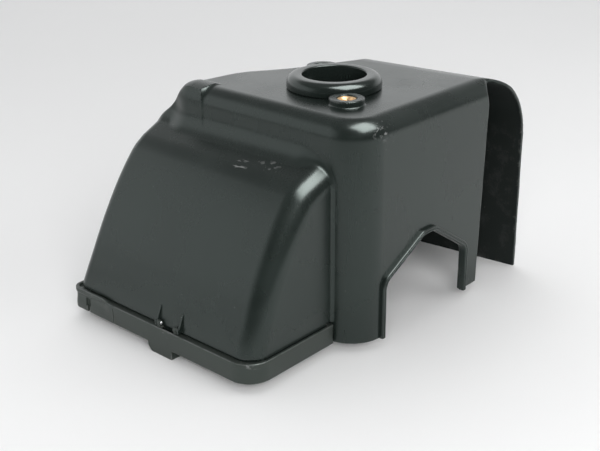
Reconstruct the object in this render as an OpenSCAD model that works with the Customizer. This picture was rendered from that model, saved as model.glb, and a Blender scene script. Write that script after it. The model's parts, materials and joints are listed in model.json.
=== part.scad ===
// Air filter housing of a small engine.
// A hood that covers the carburettor carries a filter chamber, the snout, on its front.
// The chamber stands in a tray that holds the filter element and is hinged to it at the front.
// Modelling frame: x = 0 at the hood's front face, y = 0 at its near wall, z = 0 at that wall's lower edge.

/* [Hood] */
// Height of the hood's top above the near wall's lower edge
hood_h = 107.4; // [95:0.2:130]
// Length of the hood from its front face to the rear wall's near edge
hood_l = 139.2; // [125:0.1:170]
// Width of the hood at its front, measured to the sharp far corner
hood_w = 124; // [112:1:140]
// Wall thickness of the housing
wall = 2.5; // [1.8:0.1:3.5]
// Radius along the hood's top edges
edge_r = 9; // [5:0.5:10]
// Plan radius of the hood's near front corner
near_corner_r = 18; // [12:1:24]
// Plan radius of the hood's far front corner
far_corner_r = 12; // [11:1:16]
// Angle by which the far wall runs in towards the rear, in degrees
far_taper = 23.7; // [15:0.1:26]
// Angle by which the rear wall turns forwards at its far end, in degrees
rear_skew = 6; // [0:0.5:8]
// Radius with which the top rolls over into the rear wall
roll_r = 37; // [24:1:42]
// Depth by which the rear wall reaches below the near wall
rear_drop = 4.6; // [3:0.1:8]
// Length of the near wall from the front face to its free rear edge
near_wall_l = 101.5; // [94:0.5:108]
// Depth of the cut that leaves the near side open between the near wall and the rear wall
side_cut = 5; // [2.6:0.1:6]

/* [Arch] */
// Distance of the arch's front leg from the front face
arch_front = 20; // [19:0.5:26]
// Width of the arch between its legs
arch_w = 65.5; // [55:0.5:68]
// Height of the arch
arch_h = 43; // [35:0.5:60]
// Height of the front leg up to the slope
arch_front_leg = 28; // [20:0.5:32]
// Height of the rear leg up to the slope
arch_rear_leg = 24.6; // [18:0.5:28]
// Distance of the crown's front end from the front leg, as a share of the width
crown_from = 0.44; // [0.4:0.01:0.48]
// Distance of the crown's rear end from the front leg, as a share of the width
crown_to = 0.565; // [0.52:0.005:0.6]
// Width of the rim round the arch
rim_w = 1.8; // [1.4:0.1:4]
// Height of the rim above the near wall
rim_proud = 1.8; // [1:0.1:3]

/* [Neck] */
// Place of the neck behind the front face
neck_x = 44.5; // [40:0.5:50]
// Place of the neck from the near wall
neck_y = 51.5; // [47:0.5:56]
// Bore of the neck collar
neck_bore = 31; // [24:0.1:34]
// Outside diameter of the neck collar
collar_d = 46; // [43:0.2:49]
// Height of the neck collar above the hood's top
collar_h = 6.5; // [5:0.5:14]
// Radius on the collar's outer top edge
collar_edge_r = 3.6; // [2:0.1:3.8]
// Distance of each threaded insert from the neck's axis
insert_reach = 30.3; // [28.5:0.1:34]
// Direction of the near insert as seen from the neck, in degrees
insert_angle = -129.2; // [-140:0.2:-115]
// Outside diameter of a threaded insert
insert_d = 9; // [8:0.1:9.2]
// Thread core diameter of a threaded insert
insert_bore = 5; // [4:0.1:5.5]
// Length of a threaded insert
insert_l = 11; // [8:0.5:14]
// Diameter of the boss round a threaded insert
boss_d = 16.5; // [14:0.5:18]
// Height of the boss above the hood's top
boss_h = 3; // [2:0.5:6]

/* [Snout] */
// Width of the snout
snout_w = 116; // [100:1:130]
// Distance of the snout's near wall from the hood's near wall
snout_y = 15; // [13:0.5:18]
// Height at which the snout's roof meets the hood's front face
roof_z = 87.3; // [80:0.5:90]
// Slope of the roof, in degrees
roof_a = 21; // [14:1:26]
// Length of the roof along its slope
roof_l = 12.5; // [9:0.5:16]
// Radius of the shoulder between the roof and the front face
shoulder_r = 24; // [18:1:30]
// Slope where the shoulder becomes the front face, in degrees
shoulder_a = 48; // [42:1:52]
// Radius of the bowed front face
face_r = 130; // [120:1:140]
// Radius along the snout's side edges
snout_edge_r = 9; // [6:0.5:11]
// Radius of the hollow between the roof and the hood
roof_blend_r = 9; // [6:0.5:12]
// Distance of the divider's front face ahead of the hood's front face
divider_x = 7; // [6.5:0.1:9]

/* [Tray] */
// Height of the tray's rim
tray_h = 10; // [9:0.5:13]
// Width of the ledge on the tray's rim, which is the thickness of its walls
ledge_w = 2.2; // [2:0.1:3]
// Thickness of the tray's floor
tray_floor = 2.5; // [2:0.1:3]
// Radius on the rim's outer top edge
ledge_edge_r = 1.2; // [0.6:0.1:1.6]
// Width of the broad ledge at the tray's far end
far_ledge_w = 6.7; // [4:0.1:9]
// Plan radius of the tray's far front corner
far_tray_r = 5; // [3:0.5:8]
// Distance of the clip slot in the front rim from the snout's far wall
clip_slot_y = 6; // [3:0.5:12]
// Width of the lug under the tray's front
lug_w = 16.5; // [10:0.5:20]
// Depth of the lug and of the rear feet
lug_l = 7; // [5:0.5:10]
// Width of an air slot in the tray's floor
slot_w = 4.6; // [4.2:0.1:5]
// Height of the rubber seal that the housing presses on
gasket_h = 2.2; // [1.5:0.1:2.6]
// Width of that seal
gasket_w = 3.1; // [2.6:0.1:3.4]

/* [Hinge] */
// Radius of the hinge's ears and knuckles
barrel_r = 1.6; // [1.4:0.1:1.8]
// Radius of the hinge pin
pin_r = 0.75; // [0.6:0.05:0.9]
// Distance of the hinge's middle from the snout's middle, towards the near side
hinge_off = 5.5; // [0:0.25:8]
// Thickness of a hinge ear
ear_t = 1.5; // [1.2:0.1:2]
// Distance between the hinge ears
ear_gap = 13.5; // [10:0.5:16]
// Height to which the ears run up the front face
ear_top = 18.5; // [16:0.5:22]
// Width of a hinge knuckle
knuckle_w = 2; // [1.5:0.1:4]

/* [Filter element] */
// Depth of the element's frame from front to rear
element_l = 30.5; // [26:0.5:32]
// Width of the element's frame
element_w = 100; // [90:1:101]
// Height of the element's frame
element_h = 17; // [14:0.5:19]
// Wall thickness of the element's frame
frame_t = 1.6; // [1.2:0.1:2]
// Width of the flange round the element's foot
flange_w = 2; // [1.5:0.1:2.2]
// Thickness of the element's foam rubber seal
seal_t = 3; // [2:0.1:4]
// Height of the upstand that the seal sits on
upstand_h = 3.5; // [3:0.1:5]
// Number of pleats
pleats = 24; // [16:1:28]
// Thickness of the pleated paper
paper_t = 0.7; // [0.5:0.1:0.8]
// Thickness of the support screen's wires
wire_t = 0.8; // [0.6:0.1:1]
// Thickness of the foam precleaner
foam_t = 3; // [2:0.1:3.2]

/* [Outlet] */
// Distance of the outlet's axis from the hood's near wall
outlet_y = 73; // [70:0.5:74]
// Height of the outlet's axis
outlet_z = 52; // [50:0.5:53]
// Outside diameter of the outlet spigot
spigot_d = 36; // [30:0.5:38]
// Wall thickness of the outlet spigot
spigot_t = 2.5; // [2:0.1:3]
// Length of the spigot behind its flange
spigot_l = 16; // [14:0.5:18]
// Side of the square outlet flange
flange_side = 50; // [48:0.5:52]
// Thickness of the outlet flange
flange_t = 3; // [2:0.1:3]
// Distance between the flange screws
screw_pitch = 38; // [36:0.5:39]
// Shank radius of a flange screw
screw_r = 1.5; // [1.2:0.1:1.8]
// Wall thickness of the rubber boot
boot_t = 3; // [2.5:0.1:3.5]
// Length of the rubber boot
boot_l = 34; // [30:0.5:36]
// Width of a boot clamp
clamp_w = 8; // [6:0.5:9]
// Thickness of a boot clamp's band
clamp_t = 0.9; // [0.6:0.1:1.2]

/* [Latch] */
// Width of the latch lever
latch_w = 14; // [10:0.5:18]
// Radius of the latch pin
latch_pin_r = 1; // [0.8:0.1:1.2]
// Height of the catch that the lever hooks over
catch_z = 15; // [14:0.5:15.5]
// Thickness of the leaf spring
leaf_t = 0.4; // [0.3:0.1:0.6]

/* [Fits] */
// Gap of the parting groove between the snout and the tray's ledge
groove = 0.8; // [0.6:0.1:1.2]
// Radial clearance of a turning pin
run_fit = 0.06; // [0.03:0.01:0.1]
// Radial clearance of a part that is fixed in its hole
fixed_fit = 0.02; // [0.01:0.01:0.05]
// Clearance between parts that pass each other
clear = 0.3; // [0.2:0.05:0.5]

/* [Hidden] */
$fn = 64;
far_out = 220;
overlap = 0.5;
arc_step = 5;
corner_steps = 6;
plastic = [0.15, 0.155, 0.16];
inner_plastic = [0.24, 0.25, 0.26];
rubber = [0.09, 0.09, 0.095];
brass = [0.79, 0.63, 0.3];
steel = [0.7, 0.71, 0.73];
paper = [0.86, 0.79, 0.6];
foam = [0.3, 0.33, 0.36];

// Unit vectors in the profile plane: outwards from, and down along, a surface of slope a
function out_of(a) = [-sin(a), cos(a)];
function down(a) = [-cos(a), -sin(a)];
function unit(v) = v / norm(v);

// Corner k of a convex outline that runs anticlockwise
function next(v, k) = v[(k + 1) % len(v)];
function before(v, k) = v[(k + len(v) - 1) % len(v)];
function dir_in(v, k) = unit(v[k] - before(v, k));
function dir_out(v, k) = unit(next(v, k) - v[k]);
function right_of(d) = [d.y, -d.x];
function bearing(d) = atan2(d.y, d.x);
function turn(v, k) = acos(dir_in(v, k) * dir_out(v, k));
function corner_centre(v, k, r) =
  v[k] - dir_in(v, k) * r * tan(turn(v, k) / 2) - right_of(dir_in(v, k)) * r;
// Points of an outline with its corners rounded, moved outwards by grow
function rounded(v, r, grow = 0) = [
  for (k = [0:len(v) - 1], s = [0:corner_steps])
    let (a = bearing(right_of(dir_in(v, k))) + turn(v, k) * s / corner_steps)
      corner_centre(v, k, r[k]) + (r[k] + grow) * [cos(a), sin(a)]
];
function box_outline(x0, x1, y0, y1) = [[x0, y0], [x1, y0], [x1, y1], [x0, y1]];

// Hood outline
hood_outline = box_outline(0, far_out, 0, far_out);
hood_corner_r = [near_corner_r, edge_r + 1, edge_r + 1, edge_r + 1];
far_corner = [[0, 0], [far_out, 0], [far_out, hood_w - far_out * tan(far_taper)], [0, hood_w]];
far_turn = turn(far_corner, 3);
far_centre = corner_centre(far_corner, 3, far_corner_r);

// Thickness of the collar's register in the hood's hole
register_t = 1.5;

// Rounding of the arch's corners and crown
arch_corner_r = 5.5;
crown_r = 7;

// Snout profile: roof, shoulder and bowed face
roof_foot = [0, roof_z] + roof_l * down(roof_a);
shoulder_c = roof_foot - shoulder_r * out_of(roof_a);
face_c = shoulder_c + (shoulder_r - face_r) * out_of(shoulder_a);
snout_mid = snout_y + snout_w / 2;
skirt_z = tray_floor + gasket_h + clear;
skirt_a = acos((skirt_z - face_c.y) / face_r);
function face_x(z) = face_c.x - sqrt(face_r * face_r - (z - face_c.y) * (z - face_c.y));

// Tray box
tray_front = face_x(skirt_z) - 2 * clear - ledge_w;
tray_rear = -3 * clear;
tray_near = snout_y - groove - ledge_w;
tray_far = snout_y + snout_w + groove + far_ledge_w;
tray_corner_r = snout_edge_r + groove + ledge_w;
rear_corner_r = 2.2;
foot_w = 10;
slots = 4;
clip_slot_w = 2;
clip_slot_h = 8;
clip_slot_deep = 1.4;

// Whole part: middle of its box, and the floor under it
x_mid = (tray_front + hood_l) / 2;
y_mid = (tray_far - rim_proud) / 2;

// Hinge
hinge_x = tray_front + barrel_r;
hinge_z = tray_h + barrel_r + clear;
hinge_y = snout_mid - ear_gap / 2 - ear_t - hinge_off;
knuckle_ys = [hinge_y + ear_t + clear, hinge_y + ear_t + ear_gap - knuckle_w - clear];
ear_ys = [hinge_y, hinge_y + ear_t + ear_gap];
pin_l = ear_t + knuckle_w + 3 * clear;
pin_ys = [hinge_y - clear, ear_ys[1] + ear_t + clear - pin_l];

// Filter element: its front stays clear of the skirt's swing, its rear of the divider's
skirt_swing = norm([face_x(skirt_z) + wall - hinge_x, hinge_z - skirt_z]);
element_x = hinge_x + skirt_swing + flange_w + clear;
element_y = snout_mid - element_w / 2;
element_z = tray_floor + upstand_h + seal_t;
frame_lip = 1.2;
pleat_h = element_h - frame_lip - wire_t - 1;
pleat_pitch = (element_w - 2 * frame_t - 2 * clear) / pleats;

// Outlet and latch
divider_rear = -divider_x + wall;
pocket_y = hood_w - 2 * far_corner_r;
gasket_t = 1;
adapter_x = divider_rear + gasket_t;
flange_rear = adapter_x + flange_t;
boot_x = flange_rear + 3.5;
boot_r = spigot_d / 2 + fixed_fit;
stop_x = flange_rear + spigot_l + clear;
stop_h = 2;
stop_w = 2;
clamp_xs = [boot_x + 3, boot_x + boot_l - clamp_w - 3];
screw_l = 9;
screw_head_r = 3;
screw_head_h = 2;
recess_w = 0.8;
clamp_screw_r = 2;
saddle_l = 10;
saddle_h = 6;
latch_y = snout_mid - latch_w / 2;
latch_x = 4;
latch_z = 5.5;
latch_barrel_r = 2.2;
catch_h = 3;
catch_l = 3;
catch_edge = 0.8;
lug_t = 2;
tail_t = 2.4;
tail_l = 4;
// Height of the catch's sloping top, down which the sprung hook yields
function catch_top(x) = catch_z + catch_h - (x - divider_rear) * (catch_h - catch_edge) / catch_l;

// Puts the modelling frame's floor at z = 0 and the middle of the box at the origin
module place() {
  translate([-x_mid, -y_mid, rear_drop]) children();
}

// Draws a profile in x and z, and gives it a width in y from y0
module across(y0, w) {
  translate([0, y0 + w, 0]) rotate([90, 0, 0]) linear_extrude(w) children();
}

// Turns a profile of radius and length about an axis along x
module about_x(x, y, z) {
  translate([x, y, z]) rotate([0, 90, 0]) rotate_extrude() children();
}

// Upright section with its outer top edge rounded
module round_section(r, h) {
  square([r, h - r]);
  translate([0, h - r]) intersection() {
    circle(r);
    square(r);
  }
}

// Prism on a convex outline whose top edge is rounded all round, drawn in by inset
module round_top_block(v, corner_r, top_r, h, inset) {
  r = top_r - inset;
  linear_extrude(h) polygon([
    for (k = [0:len(v) - 1], s = [0:2])
      let (c = corner_centre(v, k, corner_r[k]), reach = corner_r[k] - top_r)
        s == 0 ? c + reach * right_of(dir_in(v, k)) : s == 1 ? c : c + reach * right_of(dir_out(v, k))
  ]);
  for (k = [0:len(v) - 1]) {
    d = dir_out(v, k);
    reach = corner_r[k] - top_r;
    c = corner_centre(v, k, corner_r[k]);
    start = c + reach * right_of(d);
    far_k = (k + 1) % len(v);
    end = corner_centre(v, far_k, corner_r[far_k]) + (corner_r[far_k] - top_r) * right_of(d);
    translate(start) rotate(bearing(d)) rotate([90, 0, 90]) mirror([1, 0, 0])
      linear_extrude(norm(end - start)) round_section(r, h);
    translate(c) rotate(bearing(right_of(dir_in(v, k)))) rotate_extrude(angle = turn(v, k)) {
      square([reach, h]);
      translate([reach, 0]) round_section(r, h);
    }
  }
}

// Everything in front of and under the rolled rear wall
module roll_block(inset, low) {
  r = roll_r - inset;
  h = hood_h - inset + low;
  translate([hood_l, 0, -low]) rotate(rear_skew) translate([-inset, 0, 0]) across(-far_out, 2 * far_out) {
    translate([-far_out, 0]) square([far_out - r, h]);
    translate([-r, 0]) round_section(r, h);
  }
}

// Everything on the near side of the far wall, with that wall's top edge rounded
module far_block(inset, low) {
  h = hood_h - inset + low;
  translate([0, hood_w, -low]) rotate(-far_taper) translate([-far_out, 0, 0]) rotate([90, 0, 90])
    linear_extrude(2 * far_out) {
      translate([-2 * far_out, 0]) square([2 * far_out - edge_r, h]);
      translate([-edge_r, 0]) round_section(edge_r - inset, h);
    }
}

// Cuts the sharp far front corner of the hood round
module far_corner_cutter(inset, low) {
  r = far_corner_r - inset;
  translate([0, 0, -low - 1]) linear_extrude(hood_h + low + 2) polygon(concat(
    [for (s = [0:2 * corner_steps]) let (a = 180 - far_turn * s / 2 / corner_steps)
      far_centre + r * [cos(a), sin(a)]],
    [
      far_centre + 2 * far_corner_r * [0, 1], [-far_corner_r, hood_w + far_corner_r],
      [-far_corner_r, far_centre.y]
    ]
  ));
}

module hood_solid(inset, low) {
  difference() {
    intersection() {
      translate([0, 0, -low])
        round_top_block(hood_outline, hood_corner_r, edge_r, hood_h - inset + low, inset);
      roll_block(inset, low + overlap);
      far_block(inset, low + overlap);
    }
    far_corner_cutter(inset, low);
  }
}

// Section across the snout's skin, measured along the radius r: side edges rounded
module snout_section(r, inset) {
  edge = snout_edge_r - inset;
  half = snout_w / 2 - snout_edge_r;
  translate([r - snout_edge_r - 2, -half - edge]) square([2, 2 * (half + edge)]);
  translate([r - snout_edge_r, -half]) square([edge, 2 * half]);
  for (side = [0, 1]) mirror([0, side]) translate([r - snout_edge_r, half]) intersection() {
    circle(edge);
    square(edge);
  }
}

// Solid within the snout's skin, drawn in by inset, open to the rear at x = rear and down to z = low
module snout_solid(inset, rear, low) {
  low_a = acos((low - face_c.y) / face_r);
  half = snout_w / 2 - inset;
  intersection() {
    translate([0, snout_mid, 0]) {
      translate([face_c.x, 0, face_c.y]) rotate([90, 0, 0]) rotate(90 + shoulder_a)
        rotate_extrude(angle = low_a - shoulder_a) snout_section(face_r, inset);
      translate([shoulder_c.x, 0, shoulder_c.y]) rotate([90, 0, 0]) rotate(90 + roof_a)
        rotate_extrude(angle = shoulder_a - roof_a) snout_section(shoulder_r, inset);
      translate([0, 0, roof_z]) rotate([90, 0, 0]) rotate(90 + roof_a) rotate([-90, 0, 0])
        linear_extrude(roof_l) snout_section(0, inset);
      across(-half, 2 * half) polygon(concat(
        [for (a = [low_a:-arc_step:shoulder_a]) face_c + (face_r - snout_edge_r - 1) * out_of(a)],
        [for (a = [shoulder_a, roof_a]) shoulder_c + (shoulder_r - snout_edge_r - 1) * out_of(a)],
        [[far_corner_r, roof_z - snout_edge_r - 1], [far_corner_r, low]]
      ));
    }
    translate([-far_out, 0, low]) cube([far_out + rear, far_out, far_out]);
  }
}

// Hollow blend between the snout's roof and the hood's front face
module roof_blend() {
  bisector = (90 + 180 + roof_a) / 2;
  spread = bisector - 90;
  centre = [0, roof_z] + roof_blend_r / sin(spread) * [cos(bisector), sin(bisector)];
  from = -90 + roof_a;
  across(snout_y + snout_edge_r, hood_w - far_corner_r * 2 - snout_y - snout_edge_r) polygon(concat(
    [[wall / 2, roof_z - 2], [wall / 2, centre.y]],
    [for (s = [0:corner_steps]) let (a = from * s / corner_steps) centre + roof_blend_r * [cos(a), sin(a)]],
    [[centre.x, roof_z - 4.5]]
  ));
}

module arch_outline(grow) {
  rear = arch_front + arch_w;
  polygon(rounded(
    [
      [arch_front, -far_out], [rear, -far_out], [rear, arch_rear_leg],
      [arch_front + arch_w * crown_to, arch_h], [arch_front + arch_w * crown_from, arch_h],
      [arch_front, arch_front_leg]
    ],
    [1, 1, arch_corner_r, crown_r, crown_r, arch_corner_r], grow
  ));
}

module arch_rim() {
  difference() {
    across(-rim_proud, rim_proud + overlap) intersection() {
      arch_outline(rim_w);
      square([far_out, far_out]);
    }
    across(-2 * rim_proud, 2 * far_corner_r) arch_outline(0);
  }
}

module insert_places() {
  for (a = [insert_angle, insert_angle + 180])
    translate([neck_x, neck_y, hood_h + boss_h] + insert_reach * [cos(a), sin(a), 0]) children();
}

module insert_bosses() {
  difference() {
    insert_places() translate([0, 0, -insert_l - wall]) cylinder(d = boss_d, h = insert_l + wall);
    translate([neck_x, neck_y, hood_h]) cylinder(d = collar_d + 2 * fixed_fit, h = boss_h + 1);
  }
}

module flange_screw_places() {
  for (sy = [-1, 1], sz = [-1, 1])
    translate([0, outlet_y + sy * screw_pitch / 2, outlet_z + sz * screw_pitch / 2]) rotate([0, 90, 0])
      children();
}

// Thin ears on the snout's face, which run down to a barrel round the hinge's axis
module ears() {
  low = hinge_z - 0.95 * barrel_r;
  for (y = ear_ys) across(y, ear_t) {
    translate([hinge_x, hinge_z]) circle(barrel_r);
    polygon([
      [hinge_x, hinge_z] + 0.98 * barrel_r * [-cos(20), sin(20)], [hinge_x, low],
      [face_x(hinge_z) + wall / 2, low], [face_x(ear_top) + wall / 2, ear_top],
      [face_x(ear_top) - overlap, ear_top]
    ]);
  }
}

// Ledge on the divider's rear face that the latch holds down
module catch() {
  across(latch_y, latch_w) polygon([
    [divider_rear - overlap, catch_z - catch_l], [divider_rear, catch_z - catch_l],
    [divider_rear + catch_l, catch_z], [divider_rear + catch_l, catch_top(divider_rear + catch_l)],
    [divider_rear, catch_top(divider_rear)], [divider_rear - overlap, catch_top(divider_rear)]
  ]);
}

module hinge_bore(r) {
  translate([hinge_x, ear_ys[1] + far_corner_r, hinge_z]) rotate([90, 0, 0])
    cylinder(r = r, h = ear_gap + 2 * far_corner_r);
}

module hood_skin() {
  difference() {
    hood_solid(0, rear_drop);
    hood_solid(wall, rear_drop + 1);
  }
}

// Filter chamber: the snout's skin, closed towards the hood by the divider
module snout_skin() {
  difference() {
    snout_solid(0, overlap, skirt_z);
    snout_solid(wall, -divider_x, -rear_drop);
    behind_divider();
    translate([divider_rear, pocket_y - overlap, -rear_drop])
      cube([divider_x - 2 * wall, snout_y + snout_w - wall - pocket_y + overlap, roof_z - 2 * wall]);
  }
}

// Space from the divider back into the hood, under the roof
module behind_divider() {
  translate([divider_rear, near_corner_r, -rear_drop - 1])
    cube([divider_x, pocket_y - near_corner_r, roof_z + rear_drop - 2 * wall]);
}

module housing_shell() {
  color(plastic) place() difference() {
    union() {
      difference() {
        union() {
          hood_skin();
          snout_skin();
          roof_blend();
        }
        behind_divider();
      }
      arch_rim();
      insert_bosses();
      ears();
      catch();
      flange_screw_places() translate([0, 0, divider_rear - screw_l])
        cylinder(r = 2.5 * screw_r, h = screw_l);
    }
    intersection() {
      translate([near_wall_l, -far_out, -far_out]) cube([far_out, far_out + side_cut, 2 * far_out]);
      roll_block(wall, 2 * rear_drop);
    }
    across(-2 * rim_proud, far_corner_r) arch_outline(0);
    translate([hood_l, 0, 0]) rotate(rear_skew) translate([-far_out - 3 * wall, -far_out, -far_out])
      cube([far_out, 2 * far_out, far_out]);
    translate([tray_rear - ledge_w - 3 * clear, 0, -1])
      cube([-tray_rear + ledge_w + 3 * clear, far_out, tray_h + 2 * clear + 1]);
    translate([neck_x, neck_y, hood_h - 2 * wall])
      cylinder(d = neck_bore + 2 * (register_t + fixed_fit), h = 4 * wall);
    insert_places() translate([0, 0, -far_out]) cylinder(d = insert_d + 2 * fixed_fit, h = 2 * far_out);
    translate([-divider_x - 1, outlet_y, outlet_z]) rotate([0, 90, 0])
      cylinder(d = spigot_d - 2 * spigot_t, h = 2 * wall);
    flange_screw_places() translate([0, 0, -divider_x - screw_l])
      cylinder(r = screw_r + fixed_fit, h = 2 * screw_l);
    hinge_bore(pin_r + run_fit);
  }
}

module neck_collar() {
  r = collar_d / 2;
  bore = neck_bore / 2;
  color(plastic) place() translate([neck_x, neck_y, hood_h]) rotate_extrude() {
    translate([bore, -1.5 * wall]) square([register_t, 1.5 * wall + overlap]);
    translate([bore, 0]) square([r - collar_edge_r - bore, collar_h]);
    translate([r - collar_edge_r, 0]) round_section(collar_edge_r, collar_h);
  }
}

module threaded_inserts() {
  chamfer = 0.6;
  color(brass) place() insert_places() translate([0, 0, -insert_l]) difference() {
    cylinder(d = insert_d, h = insert_l);
    translate([0, 0, -1]) cylinder(d = insert_bore, h = insert_l + 2);
    translate([0, 0, insert_l - chamfer])
      cylinder(d1 = insert_bore, d2 = insert_bore + 4 * chamfer, h = 2 * chamfer);
  }
}

// Square plate on the divider's rear face with the outlet and the screw holes
module outlet_plate(x, t, hole_d) {
  difference() {
    translate([x, outlet_y - flange_side / 2, outlet_z - flange_side / 2])
      cube([t, flange_side, flange_side]);
    translate([x - 1, outlet_y, outlet_z]) rotate([0, 90, 0]) cylinder(d = hole_d, h = t + 2);
    flange_screw_places() translate([0, 0, x - 1]) cylinder(r = screw_r + clear, h = t + 2);
  }
}

module outlet_gasket() {
  color(rubber) place() outlet_plate(divider_rear, gasket_t, spigot_d - 2 * spigot_t);
}

module outlet_adapter() {
  color(inner_plastic) place() {
    outlet_plate(adapter_x, flange_t, spigot_d - spigot_t);
    about_x(adapter_x, outlet_y, outlet_z) difference() {
      square([spigot_d / 2, flange_t + spigot_l]);
      translate([-1, -1]) square([spigot_d / 2 - spigot_t + 1, flange_t + spigot_l + 2]);
    }
  }
}

module outlet_screws() {
  color(steel) place() flange_screw_places() translate([0, 0, flange_rear]) difference() {
    union() {
      cylinder(r1 = screw_head_r, r2 = screw_head_r - overlap, h = screw_head_h);
      translate([0, 0, -screw_l]) cylinder(r = screw_r, h = screw_l + overlap);
    }
    for (a = [0, 90]) rotate(a) translate([-screw_r, -recess_w / 2, screw_head_h / 2])
      cube([2 * screw_r, recess_w, screw_head_h]);
  }
}

// Rubber sleeve with a stop ring inside, which leaves its rear end free for the carburettor's neck
module outlet_boot() {
  bead = 1;
  bead_w = 2;
  color(rubber) place() about_x(boot_x, outlet_y, outlet_z) {
    translate([boot_r, 0]) square([boot_t, boot_l]);
    translate([boot_r - stop_h, stop_x - boot_x]) square([stop_h + overlap, stop_w]);
    for (s = [0, (boot_l - bead_w) / 2, boot_l - bead_w])
      translate([boot_r + boot_t - overlap, s]) square([bead + overlap, bead_w]);
  }
}

module clamp_saddle(x) {
  r = boot_r + boot_t + fixed_fit + clamp_t;
  translate([x, outlet_y, outlet_z + r]) children();
}

module boot_clamps() {
  r = boot_r + boot_t + fixed_fit;
  color(steel) place() for (x = clamp_xs) {
    about_x(x, outlet_y, outlet_z) translate([r, 0]) square([clamp_t, clamp_w]);
    difference() {
      clamp_saddle(x) translate([0, -saddle_l / 2, -overlap]) cube([clamp_w, saddle_l, saddle_h + overlap]);
      clamp_saddle(x) translate([clamp_w / 2, saddle_l, saddle_h / 2]) rotate([90, 0, 0])
        cylinder(r = clamp_screw_r + fixed_fit, h = 2 * saddle_l);
      about_x(x - 1, outlet_y, outlet_z) square([r + clamp_t / 2, clamp_w + 2]);
    }
  }
}

module clamp_screws() {
  head_h = 2.5;
  head_slot = 1;
  color(steel) place() for (x = clamp_xs) clamp_saddle(x)
    translate([clamp_w / 2, saddle_l / 2 + 1, saddle_h / 2]) rotate([90, 0, 0]) {
      cylinder(r = clamp_screw_r, h = saddle_l + 2);
      translate([0, 0, saddle_l + 1 + clear]) difference() {
        cylinder(r = 1.4 * clamp_screw_r, h = head_h, $fn = 6);
        translate([-far_corner_r, -head_slot / 2, head_h - head_slot])
          cube([2 * far_corner_r, head_slot, 2 * head_slot]);
      }
    }
}

// Ring under the skirt of the filter chamber, seen from above
module skirt_ring(w, gap) {
  middle = face_x(skirt_z) + wall / 2;
  x1 = -divider_x + wall / 2;
  y0 = snout_y + wall / 2;
  y1 = snout_y + snout_w - wall / 2;
  v = box_outline(middle, x1, y0, y1);
  r = [snout_edge_r - wall / 2, 2, 2, snout_edge_r - wall / 2];
  difference() {
    polygon(rounded(v, r, w / 2 + gap));
    polygon(rounded(v, r, -w / 2 - gap));
  }
}

module tray_inside(grow, z) {
  v = box_outline(tray_front + ledge_w, tray_rear - ledge_w, tray_near + ledge_w, tray_far - far_ledge_w);
  r = [tray_corner_r - ledge_w, 1, 1, tray_corner_r - ledge_w];
  translate([0, 0, z]) linear_extrude(far_corner_r * 2) polygon(rounded(v, r, grow));
}

// Rectangle round the element's foot, drawn out by grow
module element_outline(grow) {
  translate([element_x - grow, element_y - grow]) square([element_l + 2 * grow, element_w + 2 * grow]);
}

module latch_lugs() {
  for (y = [latch_y - clear - lug_t, latch_y + latch_w + clear]) across(y, lug_t) {
    translate([latch_x, latch_z]) circle(latch_barrel_r);
    polygon([
      [tray_rear - overlap, 1], [latch_x, latch_z - latch_barrel_r],
      [latch_x, latch_z + latch_barrel_r], [tray_rear - overlap, tray_h - 0.5]
    ]);
  }
}

module filter_tray() {
  slot_rib = 3;
  slot_l = element_w / 2 - 2 * slot_rib - frame_t;
  slot_step = (element_l - 2 * frame_t) / slots;
  color(plastic) place() difference() {
    union() {
      difference() {
        round_top_block(box_outline(tray_front, tray_rear, tray_near, tray_far),
          [tray_corner_r, rear_corner_r, rear_corner_r, far_tray_r], ledge_edge_r, tray_h, 0);
        tray_inside(0, tray_floor);
      }
      translate([0, 0, tray_floor - overlap]) linear_extrude(upstand_h + overlap) difference() {
        element_outline(flange_w);
        element_outline(0);
      }
      translate([tray_front, snout_mid - lug_w / 2, -rear_drop])
        cube([lug_l, lug_w, rear_drop + overlap]);
      for (y = [snout_mid - snout_w / 4, snout_mid + snout_w / 4])
        translate([tray_rear - lug_l - 2, y - foot_w / 2, -rear_drop])
          cube([lug_l, foot_w, rear_drop + overlap]);
      for (y = knuckle_ys) across(y, knuckle_w) {
        translate([hinge_x, hinge_z]) circle(barrel_r);
        translate([hinge_x - barrel_r, tray_h - 2 * ledge_edge_r])
          square([1.6 * barrel_r, hinge_z - tray_h + 2 * ledge_edge_r]);
      }
      latch_lugs();
    }
    for (s = [0:slots - 1], side = [0, 1])
      translate([
        element_x + frame_t + (s + 0.5) * slot_step - slot_w / 2,
        snout_mid + (side - 1) * slot_l + (2 * side - 1) * slot_rib, -rear_drop - 1
      ]) cube([slot_w, slot_l, rear_drop + tray_floor + 2]);
    translate([tray_front - 1, snout_y + snout_w - clip_slot_y - clip_slot_w, -1])
      cube([clip_slot_deep + 1, clip_slot_w, clip_slot_h + 1]);
    hinge_bore(pin_r + fixed_fit);
    translate([latch_x, latch_y + latch_w + far_corner_r, latch_z]) rotate([90, 0, 0])
      cylinder(r = latch_pin_r + fixed_fit, h = latch_w + 2 * far_corner_r);
  }
}

module tray_gasket() {
  color(rubber) place() translate([0, 0, tray_floor]) linear_extrude(gasket_h) skirt_ring(gasket_w, 0);
}

module hinge_pins() {
  color(steel) place() for (y = pin_ys) translate([hinge_x, y + pin_l, hinge_z]) rotate([90, 0, 0])
    cylinder(r = pin_r, h = pin_l);
}

module element_frame() {
  color(inner_plastic) place() translate([0, 0, element_z]) {
    linear_extrude(element_h) difference() {
      element_outline(0);
      element_outline(-frame_t);
    }
    linear_extrude(frame_lip) difference() {
      element_outline(flange_w);
      element_outline(-2 * frame_t);
    }
  }
}

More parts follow.
